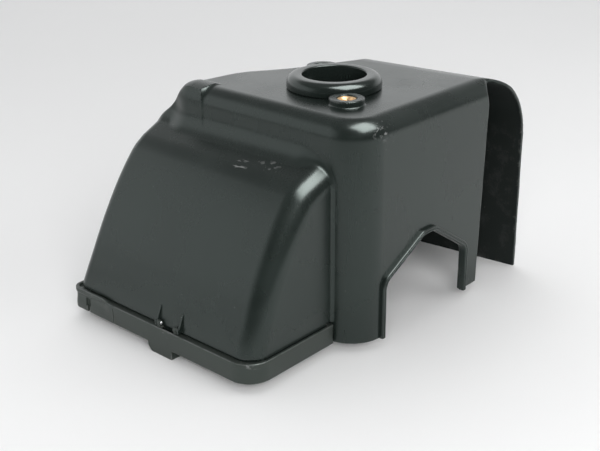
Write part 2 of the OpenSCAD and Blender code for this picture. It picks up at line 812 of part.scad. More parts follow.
// Folded sheet: upper and lower side of one zigzag
module pleat_pack() {
  flat = pleat_pitch / 8;
  y0 = element_y + frame_t + clear;
  // Places of a fold's four corners along the pack: up from the foot, over the crest and down again
  steps = [flat, pleat_pitch / 2 - flat, pleat_pitch / 2 + flat, pleat_pitch - flat];
  fold = [for (k = [0:pleats - 1], s = [0:3]) [k * pleat_pitch + steps[s], s == 0 || s == 3 ? 0 : 1]];
  rise = pleat_h - paper_t;
  color(paper) place() translate([element_x + frame_t + clear, y0, element_z + frame_lip])
    rotate([90, 0, 90]) linear_extrude(element_l - 2 * frame_t - 2 * clear) polygon(concat(
      [for (p = fold) [p.x, p.y * rise]],
      [for (k = [len(fold) - 1:-1:0]) [fold[k].x, fold[k].y * rise + paper_t]]
    ));
}

module element_seal() {
  color(rubber) place() translate([0, 0, tray_floor + upstand_h]) linear_extrude(seal_t) difference() {
    element_outline(flange_w);
    element_outline(-frame_t);
  }
}

module support_screen() {
  l = element_l - 2 * frame_t - 2 * clear;
  w = element_w - 2 * frame_t - 2 * clear;
  bars_x = 5;
  bars_y = 15;
  color(steel) place()
    translate([element_x + frame_t + clear, element_y + frame_t + clear, element_z + frame_lip + pleat_h]) {
      for (k = [0:bars_x]) translate([k * (l - wire_t) / bars_x, 0, 0]) cube([wire_t, w, wire_t]);
      for (k = [0:bars_y]) translate([0, k * (w - wire_t) / bars_y, 0]) cube([l, wire_t, wire_t]);
    }
}

module precleaner_foam() {
  color(foam) place() translate([0, 0, tray_floor]) linear_extrude(foam_t) element_outline(-clear);
}

// Sprung hook over the catch, with a thumb tab above and a tail that the leaf spring bears on below
module latch_lever() {
  hook_x = divider_rear + 2 * clear;
  arm_x = tray_rear + 4 * clear;
  arm_rear = arm_x + 3;
  hook_gap = 1.5 * clear;
  hook_h = 3;
  root_z = latch_z + 4;
  tab = [latch_x + 3, catch_top(arm_x) + 10];
  tab_t = [0.8, -1];
  color(inner_plastic) place() difference() {
    union() {
      across(latch_y, latch_w) translate([latch_x, latch_z]) circle(latch_barrel_r);
      across(latch_y, latch_w) translate([latch_x - tail_t / 2, latch_z - tail_l]) square([tail_t, tail_l]);
      across(latch_y, latch_w) polygon([
        [latch_x - latch_barrel_r, latch_z - overlap], [arm_x, root_z], [arm_x, catch_top(arm_x) + hook_gap],
        [hook_x, catch_top(hook_x) + hook_gap], [hook_x, catch_top(hook_x) + hook_gap + 1],
        [arm_x, catch_top(hook_x) + hook_h], [arm_rear - overlap, catch_top(hook_x) + hook_h],
        tab, tab + tab_t, [arm_rear, catch_top(hook_x)], [arm_rear, root_z],
        [latch_x + latch_barrel_r, latch_z + overlap]
      ]);
    }
    translate([latch_x, latch_y + latch_w + 1, latch_z]) rotate([90, 0, 0])
      cylinder(r = latch_pin_r + run_fit, h = latch_w + 2);
  }
}

module latch_pin() {
  l = latch_w + 2 * (lug_t + clear) + 2 * clear;
  color(steel) place() translate([latch_x, snout_mid + l / 2, latch_z]) rotate([90, 0, 0])
    cylinder(r = latch_pin_r, h = l);
}

// Strip that lies on the tray's rear wall and presses the lever's tail
module latch_spring() {
  tip = [latch_x - tail_t / 2 - leaf_t - clear, latch_z - tail_l + 2 * leaf_t];
  top = tray_h - ledge_edge_r;
  bend = top - 6 * leaf_t;
  color(steel) place() across(latch_y + latch_w / 4, latch_w / 2) polygon([
    [tray_rear, top], [tray_rear, bend], tip, tip + [leaf_t, 0],
    [tray_rear + leaf_t, bend + leaf_t / 2], [tray_rear + leaf_t, top]
  ]);
}

housing_shell();
neck_collar();
threaded_inserts();
outlet_gasket();
outlet_adapter();
outlet_screws();
outlet_boot();
boot_clamps();
clamp_screws();
filter_tray();
tray_gasket();
hinge_pins();
element_frame();
pleat_pack();
element_seal();
support_screen();
precleaner_foam();
latch_lever();
latch_pin();
latch_spring();
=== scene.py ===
import json
import math

import bmesh
import bpy
import numpy as np
from mathutils import Matrix, Vector


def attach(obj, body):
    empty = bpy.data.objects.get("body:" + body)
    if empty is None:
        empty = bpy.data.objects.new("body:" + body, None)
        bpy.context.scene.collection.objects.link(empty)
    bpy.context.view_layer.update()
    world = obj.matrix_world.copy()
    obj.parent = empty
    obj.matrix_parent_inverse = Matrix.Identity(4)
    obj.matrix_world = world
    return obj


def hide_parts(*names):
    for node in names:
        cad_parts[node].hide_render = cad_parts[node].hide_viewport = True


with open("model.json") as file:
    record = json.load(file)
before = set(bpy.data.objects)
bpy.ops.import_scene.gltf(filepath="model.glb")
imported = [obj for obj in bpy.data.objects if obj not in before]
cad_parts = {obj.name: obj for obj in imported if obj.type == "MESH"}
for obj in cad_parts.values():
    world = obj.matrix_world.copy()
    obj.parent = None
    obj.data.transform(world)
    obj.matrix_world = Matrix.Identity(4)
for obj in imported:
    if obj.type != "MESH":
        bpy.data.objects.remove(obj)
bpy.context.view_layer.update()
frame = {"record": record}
body_of = {n: b for b, names in frame["record"]["behaviour"]["bodies"].items() for n in names}

# Shapes are written in the CAD's modelling frame, in mm: x = 0 at the hood's front face,
# y = 0 at its near wall, z = 0 at that wall's lower edge. ORIGIN is the row frame's origin in it.
ORIGIN = np.array([41.5167, 68.35, -4.6])
FLOOR_Z = -4.6
SHARP = 38


def sind(a):
    return math.sin(math.radians(a))


def cosd(a):
    return math.cos(math.radians(a))


# Distance fields

def ri(a, b, r):
    """Both, with the edge between them rounded"""
    return np.minimum(-r, np.maximum(a, b)) + np.hypot(np.maximum(r + a, 0), np.maximum(r + b, 0))


def ru(a, b, r):
    """Either, with the hollow between them rounded"""
    return np.maximum(r, np.minimum(a, b)) - np.hypot(np.maximum(r - a, 0), np.maximum(r - b, 0))


def soft(a, b, k):
    """Both, with a shallow bend between them eased over k"""
    return np.maximum(a, b) + np.maximum(k - np.abs(a - b), 0) ** 2 / (4 * k)


def slab(v, low, high):
    """Between two values"""
    return np.maximum(low - v, v - high)


def box(x, y, z, low, high, r=0.0):
    """Box with its edges rounded"""
    c = [(a + b) / 2 for a, b in zip(low, high)]
    q = [np.abs(v - m) - (b - a) / 2 + r for v, m, a, b in zip((x, y, z), c, low, high)]
    out = np.sqrt(sum(np.maximum(v, 0) ** 2 for v in q))
    return out + np.minimum(np.maximum(np.maximum(q[0], q[1]), q[2]), 0) - r


def plan(x, y, low, high, corners):
    """Rectangle in plan with a radius at each corner: near front, near rear, far rear, far front"""
    painted_front_shade, rear, near, far = low[0] - x, x - high[0], low[1] - y, y - high[1]
    near_side = np.maximum(ri(painted_front_shade, near, corners[0]), ri(rear, near, corners[1]))
    return np.maximum(near_side, np.maximum(ri(rear, far, corners[2]), ri(painted_front_shade, far, corners[3])))


def poly(u, v, points, r=0.0):
    """Polygon in two coordinates, grown by r"""
    p = np.array(points, float)
    d = np.full(np.shape(u), 1e9)
    sign = np.ones(np.shape(u))
    for k in range(len(p)):
        a, b = p[k], p[k - 1]
        e = b - a
        wu, wv = u - a[0], v - a[1]
        t = np.clip((wu * e[0] + wv * e[1]) / (e @ e), 0, 1)
        d = np.minimum(d, (wu - e[0] * t) ** 2 + (wv - e[1] * t) ** 2)
        c1, c2, c3 = v >= a[1], v < b[1], e[0] * wv > e[1] * wu
        sign = np.where((c1 & c2 & c3) | (~c1 & ~c2 & ~c3), -sign, sign)
    return sign * np.sqrt(d) - r


def inset(points, r):
    """Corners of a convex outline, run anticlockwise, drawn in by r"""
    p = np.array(points, float)
    n = len(p)
    out = []
    for k in range(n):
        a, b = p[k] - p[k - 1], p[(k + 1) % n] - p[k]
        a, b = a / np.hypot(*a), b / np.hypot(*b)
        na, nb = np.array([-a[1], a[0]]), np.array([-b[1], b[0]])
        out.append(p[k] + r * (na + nb) / (1 + na @ nb))
    return out


def smooth(v, low, high):
    """Nought up to low, one from high, eased between"""
    t = np.clip((v - low) / (high - low), 0, 1)
    return t * t * (3 - 2 * t)


def gradient(field, p, e=0.08):
    """Slope of a field at points, from four places round each"""
    g = np.zeros_like(p)
    for s in ((1, 1, 1), (1, -1, -1), (-1, 1, -1), (-1, -1, 1)):
        s = np.array(s)
        q = p + e * s
        g += s * field(q[:, 0], q[:, 1], q[:, 2])[:, None]
    return g / (4 * e)


def surface(field, low, high, h):
    """Vertices and quads of a field's zero level"""
    low = np.array(low, float) - 2 * h
    size = 8
    blocks = -(-(np.ceil((np.array(high) + 2 * h - low) / h).astype(int) + 1) // size)
    n = blocks * size
    axes = [low[k] + h * (np.arange(blocks[k]) * size + (size - 1) / 2) for k in range(3)]
    c = np.stack(np.meshgrid(*axes, indexing="ij"), -1).reshape(-1, 3)
    d = field(c[:, 0], c[:, 1], c[:, 2])
    grid = d.reshape(blocks).astype(np.float32).repeat(size, 0).repeat(size, 1).repeat(size, 2)
    near = np.argwhere(np.abs(d.reshape(blocks)) < 0.9 * size * h + 2 * h) * size
    offset = np.stack(np.meshgrid(*[np.arange(size)] * 3, indexing="ij"), -1).reshape(-1, 3)
    for k in range(0, len(near), 4000):
        i = (near[k:k + 4000, None, :] + offset).reshape(-1, 3)
        p = low + h * i
        grid[i[:, 0], i[:, 1], i[:, 2]] = field(p[:, 0], p[:, 1], p[:, 2])
    inside_shade_and_matt = grid < 0
    corners = np.array([(a, b, c) for a in (0, 1) for b in (0, 1) for c in (0, 1)])
    first = inside_shade_and_matt[:-1, :-1, :-1]
    mixed = np.zeros(first.shape, bool)
    for a, b, c in corners[1:]:
        mixed |= inside_shade_and_matt[a:n[0] - 1 + a, b:n[1] - 1 + b, c:n[2] - 1 + c] != first
    cells = np.argwhere(mixed)
    index = np.full(mixed.shape, -1, np.int32)
    index[mixed] = np.arange(len(cells))
    value = [grid[tuple((cells + o).T)] for o in corners]
    total = np.zeros((len(cells), 3))
    count = np.zeros(len(cells))
    for i in range(8):
        for j in range(i + 1, 8):
            if np.abs(corners[i] - corners[j]).sum() == 1:
                a, b = value[i], value[j]
                m = (a < 0) != (b < 0)
                t = np.where(m, a / np.where(m, a - b, 1), 0)[:, None]
                total += m[:, None] * (corners[i] + t * (corners[j] - corners[i]))
                count += m
    p = low + h * (cells + total / count[:, None])
    for _ in range(3):
        g = gradient(field, p)
        step = field(p[:, 0], p[:, 1], p[:, 2])[:, None] * g / np.maximum((g * g).sum(1), 0.3)[:, None]
        p -= np.clip(step, -0.5 * h, 0.5 * h)
    quads = []
    for a in range(3):
        b, c = (a + 1) % 3, (a + 2) % 3
        one, two = np.eye(3, dtype=int)[b], np.eye(3, dtype=int)[c]
        lo, hi = [slice(None)] * 3, [slice(None)] * 3
        lo[a], hi[a] = slice(0, -1), slice(1, None)
        e = np.argwhere(inside_shade_and_matt[tuple(lo)] != inside_shade_and_matt[tuple(hi)])
        q = np.stack([index[tuple((e - o).T)] for o in (0 * one, one, one + two, two)], 1)
        back = ~inside_shade_and_matt[tuple(e.T)]
        q[back] = q[back][:, ::-1]
        quads.append(q)
    return p, np.concatenate(quads)


# Objects

def mesh_object(name, v, faces):
    """Object from vertices in mm in the modelling frame, and faces of one size"""
    faces = np.asarray(faces, np.int32)
    me = bpy.data.meshes.new(name)
    me.vertices.add(len(v))
    me.vertices.foreach_set("co", ((np.asarray(v) - ORIGIN) / 1000).astype(np.float32).ravel())
    me.loops.add(faces.size)
    me.loops.foreach_set("vertex_index", faces.ravel())
    me.polygons.add(len(faces))
    me.polygons.foreach_set("loop_start", np.arange(0, faces.size, faces.shape[1], dtype=np.int32))
    me.polygons.foreach_set("use_smooth", np.ones(len(faces), bool))
    me.update(calc_edges=True)
    me.validate()
    o = bpy.data.objects.new(name, me)
    bpy.context.scene.collection.objects.link(o)
    return o


def places(me):
    """A mesh's vertices in mm in the modelling frame"""
    co = np.zeros(3 * len(me.vertices), np.float32)
    me.vertices.foreach_get("co", co)
    return co.reshape(-1, 3).astype(float) * 1000 + ORIGIN


def solid(name, field, low, high, h, keep=1.0, worn=1.2):
    """Object of a field: quads thinned to a share, the field's normals, and wear within some mm of edges"""
    o = mesh_object(name, *surface(field, low, high, h))
    if keep < 1:
        m = o.modifiers.new("thin", "DECIMATE")
        m.ratio = keep
        bpy.context.view_layer.update()
        me = bpy.data.meshes.new_from_object(o.evaluated_get(bpy.context.evaluated_depsgraph_get()))
        o.modifiers.clear()
        old = o.data
        o.data = me
        bpy.data.meshes.remove(old)
        me.name = name
    me = o.data
    p = places(me)
    g = gradient(field, p)
    g /= np.maximum(np.linalg.norm(g, axis=1), 1e-6)[:, None]
    me.polygons.foreach_set("use_smooth", np.ones(len(me.polygons), bool))
    me.normals_split_custom_set_from_vertices(g.tolist())
    if not worn:
        return o
    bend = -6 * field(p[:, 0], p[:, 1], p[:, 2])
    for k in range(3):
        for step in (-worn, worn):
            q = p.copy()
            q[:, k] += step
            bend += field(q[:, 0], q[:, 1], q[:, 2])
    wear = me.attributes.new("wear", "FLOAT", "POINT")
    wear.data.foreach_set("value", np.clip(bend / worn, -1, 1).astype(np.float32))
    return o


def tidy_normals(o, angle=SHARP):
    """Faces look outwards, and edges sharper than angle stay sharp"""
    work = bmesh.new()
    work.from_mesh(o.data)
    bmesh.ops.recalc_face_normals(work, faces=work.faces)
    work.to_mesh(o.data)
    work.free()
    o.data.set_sharp_from_angle(angle=math.radians(angle))
    return o


def lathe(name, outline, place, axis="z", steps=96, wave=None):
    """Object turned from a closed outline of (radius, length) about an axis through place"""
    pts = np.array(outline, float)
    a = np.arange(steps) * 2 * math.pi / steps
    r, l = np.repeat(pts[:, :1], steps, 1), np.repeat(pts[:, 1:], steps, 1)
    if wave is not None:
        r = r + wave(r, a[None, :], l)
    c, s = r * np.cos(a), r * np.sin(a)
    v = {"z": (c, s, l), "x": (l, c, s), "y": (s, l, c)}[axis]
    v = np.stack(v, -1).reshape(-1, 3) + np.array(place, float)
    i = np.arange(len(pts) * steps).reshape(len(pts), steps)
    j, k = np.roll(i, -1, 0), np.roll(i, -1, 1)
    return tidy_normals(mesh_object(name, v, np.stack([i, k, np.roll(j, -1, 1), j], -1).reshape(-1, 4)))


def arc(cx, cy, r, start, end, n=8):
    """Points on a circle from one angle to another"""
    angles = [math.radians(start + (end - start) * k / n) for k in range(n + 1)]
    return [(cx + r * math.cos(a), cy + r * math.sin(a)) for a in angles]


def sweep(name, paths, r, sides=8):
    """Round bars of radius r along paths of points, with domed ends"""
    v, faces = [], []
    for path in paths:
        path = np.array(path, float)
        t = np.gradient(path, axis=0)
        t /= np.linalg.norm(t, axis=1)[:, None]
        side = np.cross(t, (0, 0, 1.0))
        side /= np.linalg.norm(side, axis=1)[:, None]
        up = np.cross(side, t)
        a = np.arange(sides) * 2 * math.pi / sides
        shrink = np.ones(len(path))
        shrink[[0, -1]] = 0.4
        ring = np.cos(a)[:, None, None] * side + np.sin(a)[:, None, None] * up
        n = len(v)
        v += list((path + r * shrink[:, None] * ring).transpose(1, 0, 2).reshape(-1, 3))
        for k in range(len(path) - 1):
            for s in range(sides):
                q = n + k * sides
                faces.append((q + s, q + (s + 1) % sides, q + sides + (s + 1) % sides, q + sides + s))
        for end in (0, len(path) - 1):
            q = n + end * sides
            half = sides // 2
            faces += [(q + s, q + s + 1, q + sides - 2 - s, q + sides - 1 - s) for s in range(half - 1)]
    return tidy_normals(mesh_object(name, v, faces), 60)


def copies(name, o, offsets):
    """One object from copies of another, moved by offsets in mm, which takes the place of it"""
    old = o.data
    work = bmesh.new()
    for offset in offsets:
        me = old.copy()
        me.transform(Matrix.Translation(Vector(offset) / 1000))
        work.from_mesh(me)
        bpy.data.meshes.remove(me)
    me = bpy.data.meshes.new(name)
    work.to_mesh(me)
    work.free()
    o.data = me
    o.name = name
    bpy.data.meshes.remove(old)
    me.set_sharp_from_angle(angle=math.radians(SHARP))
    return o


# Materials

def put(tree, socket, value):
    """Joins a socket to another, or sets its value"""
    if isinstance(value, bpy.types.NodeSocket):
        tree.links.new(value, socket)
    else:
        socket.default_value = value


def add_node(tree, kind, inputs=(), **settings):
    n = tree.nodes.new(kind)
    for k, v in settings.items():
        setattr(n, k, v)
    for k, v in dict(inputs).items():
        put(tree, n.inputs[k], v)
    return n


class Shader:
    """Material whose nodes are added and joined in short calls, with sizes in mm"""

    def __init__(self, name):
        self.material = bpy.data.materials.new(name)
        self.material.use_nodes = True
        self.tree = self.material.node_tree
        self.surface = self.tree.nodes["Principled BSDF"]
        self.place = self.node("ShaderNodeTexCoord").outputs["Object"]

    def node(self, kind, inputs=(), **settings):
        return add_node(self.tree, kind, inputs, **settings)

    def set(self, **values):
        """Sets or joins the surface's sockets, named in lower case"""
        for k, v in values.items():
            put(self.tree, self.surface.inputs[k.replace("_", " ").title()], v)

    def math(self, operation, a, b=0.0):
        return self.node("ShaderNodeMath", {0: a, 1: b}, operation=operation).outputs[0]

    def vector(self, operation, a, b=(0, 0, 0)):
        return self.node("ShaderNodeVectorMath", {0: a, 1: b}, operation=operation).outputs

    def stretched(self, size, stretch):
        scale = [1000 / size * s for s in stretch]
        return self.node("ShaderNodeMapping", {"Vector": self.place, "Scale": scale}).outputs[0]

    def noise(self, size, detail=2.0, stretch=(1, 1, 1)):
        vector = self.stretched(size, stretch)
        return self.node("ShaderNodeTexNoise", {"Vector": vector, "Scale": 1.0, "Detail": detail}).outputs[0]

    def cells(self, size):
        vector = self.stretched(size, (1, 1, 1))
        return self.node("ShaderNodeTexVoronoi", {"Vector": vector, "Scale": 1.0}).outputs

    def ramp(self, value, low, high):
        """Nought at low, one at high"""
        return self.node("ShaderNodeMapRange", {"Value": value, "From Min": low, "From Max": high},
                         interpolation_type="SMOOTHSTEP").outputs[0]

    def blend(self, t, a, b):
        """Number or colour from a to b"""
        colour = any(isinstance(v, tuple) or getattr(v, "type", "") == "RGBA" for v in (a, b))
        n = self.node("ShaderNodeMix", {0: t}, data_type="RGBA" if colour else "FLOAT")
        first = 6 if colour else 2
        put(self.tree, n.inputs[first], a)
        put(self.tree, n.inputs[first + 1], b)
        return n.outputs[2 if colour else 0]

    def bump(self, height, depth, under=None):
        """Normal of a height whose full range is depth mm"""
        values = {"Height": height, "Strength": 1.0, "Distance": depth / 1000}
        if under is not None:
            values["Normal"] = under
        return self.node("ShaderNodeBump", values).outputs[0]

    def away(self, centre, size):
        """Distance from a place in the modelling frame, in units of size, which may differ by axis"""
        c = tuple((np.array(centre, float) - ORIGIN) / 1000)
        offset = self.vector("SUBTRACT", self.place, c)[0]
        offset = self.vector("MULTIPLY", offset, tuple(1000 / s for s in size))[0]
        return self.vector("LENGTH", offset)["Value"]

    def near(self, centre, size):
        """One at a place, falling to nought at size"""
        return self.ramp(self.away(centre, size), 1.0, 0.25)


def grey(v, tint=(1, 1, 1)):
    return (v * tint[0], v * tint[1], v * tint[2], 1)


# Tints of the plastics and of their reflections
COOL = (0.72, 1.0, 0.88)
OLIVE = (0.82, 1.0, 0.86)
SKIN = (0.88, 1.0, 0.96, 1)


def plastic(name, dark, light, rough, tint=(1, 1, 1), scuffs=(), ring=None, shade_and_matt_from_x=None, rub=(0.58, 0.14)):
    """Moulded plastic with drag marks, dust, rubbed edges, scuffs, an ejector's ring, and painted shade with
    a matt skin inside
    """
    s = Shader(name)
    cloud = s.ramp(s.noise(46, 3), 0.35, 0.7)
    grain = s.noise(0.5, 2)
    drag = s.ramp(s.noise(2.4, 4, (1, 1, 0.05)), 0.42, 0.75)
    colour = s.blend(cloud, grey(dark, tint), grey(light, tint))
    # painted shade inside: behind a given x, on faces that look forward or down, the colour is darkened as
    # shade, and the same place is made matt below
    if shade_and_matt_from_x is not None:
        facing = s.node("ShaderNodeTexCoord").outputs["Normal"]
        turned = s.vector("DOT_PRODUCT", facing, (-0.7, 0, -0.7))["Value"]
        x = s.node("ShaderNodeSeparateXYZ", {0: s.place}).outputs[0]
        start = (shade_and_matt_from_x - ORIGIN[0]) / 1000
        behind = s.ramp(x, start, start + 0.006)
        inside_shade_and_matt = s.math("MULTIPLY", s.ramp(turned, 0.2, 0.6), behind)
        # painted shade: those inside faces darkened towards black
        colour = s.blend(inside_shade_and_matt, colour, grey(0.3 * dark, tint))
    # dust, as single specks in some of many cells
    cells = s.cells(5.5)
    chance = s.node("ShaderNodeSeparateColor", {0: cells["Color"]}).outputs[0]
    speck = s.math("MULTIPLY", s.ramp(cells["Distance"], 0.045, 0.02), s.ramp(chance, 0.78, 0.8))
    # edges rubbed pale where a pattern passes a level
    level, strength = rub
    edge = s.node("ShaderNodeAttribute", attribute_name="wear").outputs["Fac"]
    patch = s.math("ADD", s.math("MULTIPLY", s.noise(7, 3), 0.8), s.math("MULTIPLY", s.noise(0.9, 2), 0.35))
    rubbed = s.math("MULTIPLY", s.ramp(edge, 0.55, 1.0), s.ramp(patch, level, level + 0.16))
    marks = s.math("MAXIMUM", s.math("MULTIPLY", speck, 0.4), s.math("MULTIPLY", rubbed, strength))
    for centre, size, stretch, strength in scuffs:
        stroke = s.ramp(s.noise(1.3, 2, stretch), 0.56, 0.68)
        stroke = s.math("MULTIPLY", s.near(centre, size), stroke)
        marks = s.math("MAXIMUM", marks, s.math("MULTIPLY", stroke, strength))
    s.set(base_color=s.blend(marks, colour, grey(0.3)))
    sheen = s.blend(cloud, rough - 0.04, rough + 0.03)
    sheen = s.math("ADD", sheen, s.math("MULTIPLY", drag, 0.02))
    if shade_and_matt_from_x is not None:
        sheen = s.blend(inside_shade_and_matt, sheen, 0.8)
    s.set(roughness=s.blend(marks, sheen, 0.6), specular_tint=SKIN)
    normal = s.bump(grain, 0.003, s.bump(s.noise(5.5, 1), 0.012))
    if ring is not None:
        centre, radius = ring
        line = s.math("ABSOLUTE", s.math("SUBTRACT", s.away(centre, (radius, radius, 3)), 1.0))
        line = s.math("MULTIPLY", s.ramp(line, 0.05, 0.02), s.ramp(s.noise(4, 1), 0.4, 0.55))
        normal = s.bump(line, -0.12, normal)
    s.set(normal=normal)
    return s.material


def rubber(name, tone, rough):
    """Moulded rubber: matt, with bloom in patches and a fine stipple"""
    s = Shader(name)
    bloom = s.ramp(s.noise(9, 4), 0.45, 0.72)
    s.set(base_color=s.blend(bloom, grey(tone), grey(tone * 1.9)))
    s.set(roughness=s.blend(bloom, rough, rough + 0.14))
    s.set(normal=s.bump(s.noise(0.35, 2), 0.015))
    return s.material


def metal(name, bright, shade_and_matt_from_x, rough, brush=(1, 1, 1)):
    """Bare or plated metal: drawn lines, dull patches and tarnish"""
    s = Shader(name)
    patch = s.ramp(s.noise(3.5, 4), 0.4, 0.72)
    line = s.noise(0.25, 2, brush)
    s.set(metallic=1.0, base_color=s.blend(patch, bright, shade_and_matt_from_x))
    s.set(roughness=s.math("ADD", s.blend(patch, rough, rough + 0.16), s.math("MULTIPLY", line, 0.1)))
    s.set(normal=s.bump(line, 0.004))
    return s.material


def filter_paper():
    """Resin-treated paper: long fibres, mottled cream colour"""
    s = Shader("filter_paper")
    fibre = s.noise(0.5, 3, (0.25, 1, 1))
    mottle = s.noise(5, 3)
    s.set(base_color=s.blend(s.ramp(s.math("ADD", fibre, mottle), 0.75, 1.25),
                             (0.56, 0.44, 0.24, 1), (0.78, 0.68, 0.46, 1)))
    s.set(roughness=s.blend(fibre, 0.72, 0.95))
    s.set(normal=s.bump(fibre, 0.06))
    return s.material


def open_cell_foam():
    """Foam: round open cells between thin struts, the cells painted dark as shade in the pores"""
    s = Shader("open_cell_foam")
    cell = s.cells(1.1)["Distance"]
    struts_and_pore_shade = s.ramp(cell, 0.3, 0.62)
    # painted shade: the cells' centres darker than the struts
    s.set(base_color=s.blend(struts_and_pore_shade, (0.02, 0.024, 0.03, 1), (0.13, 0.155, 0.19, 1)))
    s.set(roughness=s.blend(struts_and_pore_shade, 0.98, 0.8))
    s.set(normal=s.bump(struts_and_pore_shade, 0.5))
    return s.material


def finish(o, node, material):
    """Gives a piece its material and its place in the frame"""
    o.data.materials.clear()
    o.data.materials.append(material)
    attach(o, body_of[node])
    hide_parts(node)


# Housing

WALL = 2.5
REAR_WALL = 1.8
HOOD_H, HOOD_L = 107.4, 139.1
ROLL_R = 37.0
EDGE_R = 9.0
NECK = (44.5, 51.5)
BOSS_TOP = HOOD_H + 3
OUTLET = (73.0, 52.0)
PORT_R = 15.5
INSERT_R, INSERT_AWAY = 4.5, 30.3
INSERTS = [(NECK[0] + INSERT_AWAY * cosd(a), NECK[1] + INSERT_AWAY * sind(a)) for a in (-129.2, 50.8)]
SCREW_AWAY = 19
SCREWS = [(OUTLET[0] + sy * SCREW_AWAY, OUTLET[1] + sz * SCREW_AWAY) for sy in (-1, 1) for sz in (-1, 1)]
# the snout's profile: a sloping roof, a round shoulder and a face of large radius, with their centres
ROOF_TILT, FACE_TILT = 21, 48
SHOULDER_R, FACE_R = 24, 130
ROOF = np.array([0, 87.3]) + 12.5 * np.array([-cosd(ROOF_TILT), -sind(ROOF_TILT)])
SHOULDER = ROOF - SHOULDER_R * np.array([-sind(ROOF_TILT), cosd(ROOF_TILT)])
FACE = SHOULDER + (SHOULDER_R - FACE_R) * np.array([-sind(FACE_TILT), cosd(FACE_TILT)])
SKIRT_Z = 10.6
HINGE = (-54.5666, 11.9)
EARS = (59.4, 74.4)
EAR_T = 1.2
LATCH = (4.0, 5.5)
LATCH_R = 2.2
LATCH_Y = (66, 80)


def face_x(z):
    return FACE[0] - math.sqrt(FACE_R ** 2 - (z - FACE[1]) ** 2)


def far_line(x, y, x0, y0, angle):
    """Distance beyond a line in plan that runs in towards the rear"""
    return (x - x0) * sind(angle) + (y - y0) * cosd(angle)


def hood(x, y, z):
    """Hood's outer shape and the distance beyond its rear wall"""
    bend = (59.25, 97.7)
    far = -soft(-far_line(x, y, *bend, 34.6), -far_line(x, y, *bend, 21.6), 3)
    far = soft(far_line(x, y, 0, 117.6, 8.3), far, 3)
    rear = (x - HOOD_L + 0.02 * z) * cosd(6) + y * sind(6)
    top = z - HOOD_H
    walls = ri(ri(-x, -y, 18), far, 10)
    return np.maximum(np.maximum(ri(walls, top, EDGE_R), ri(rear, top, ROLL_R)), ri(far, rear, 8)), rear


def snout(x, y, z, flare=0.0):
    """Chamber on the hood's front: its sloping face, stood out by flare, shoulder, roof and side walls"""
    fx, fz = x - FACE[0], z - FACE[1]
    sx, sz = x - SHOULDER[0], z - SHOULDER[1]
    roof = -(x - ROOF[0]) * sind(ROOF_TILT) + (z - ROOF[1]) * cosd(ROOF_TILT)
    on_shoulder = np.arctan2(-sx, sz) >= math.radians(ROOF_TILT)
    on_face = np.arctan2(-fx, fz) >= math.radians(FACE_TILT)
    profile = np.where(on_shoulder, np.hypot(sx, sz) - SHOULDER_R, roof)
    profile = np.where(on_face, np.hypot(fx, fz) - FACE_R - flare, profile)
    far = y - 129.4 - 0.0026 * np.maximum(62 - z, 0) ** 2 - 0.3 * np.maximum(z - 80, 0)
    end = x - 2 - 7 * smooth(z, 70, 86) * smooth(y, 95, 110)
    return ri(ri(ri(profile, 15 - y, 10), far, 6), end, 2)


ARCH_FRONT, ARCH_REAR, ARCH_R = 20, 85.5, 5.5
ARCH_SPAN = ARCH_REAR - ARCH_FRONT
ARCH = inset([
    (ARCH_FRONT, -60), (ARCH_REAR, -60), (ARCH_REAR, 24.6),
    (ARCH_FRONT + ARCH_SPAN * 0.565, 43), (ARCH_FRONT + ARCH_SPAN * 0.44, 43), (ARCH_FRONT, 28)], ARCH_R)


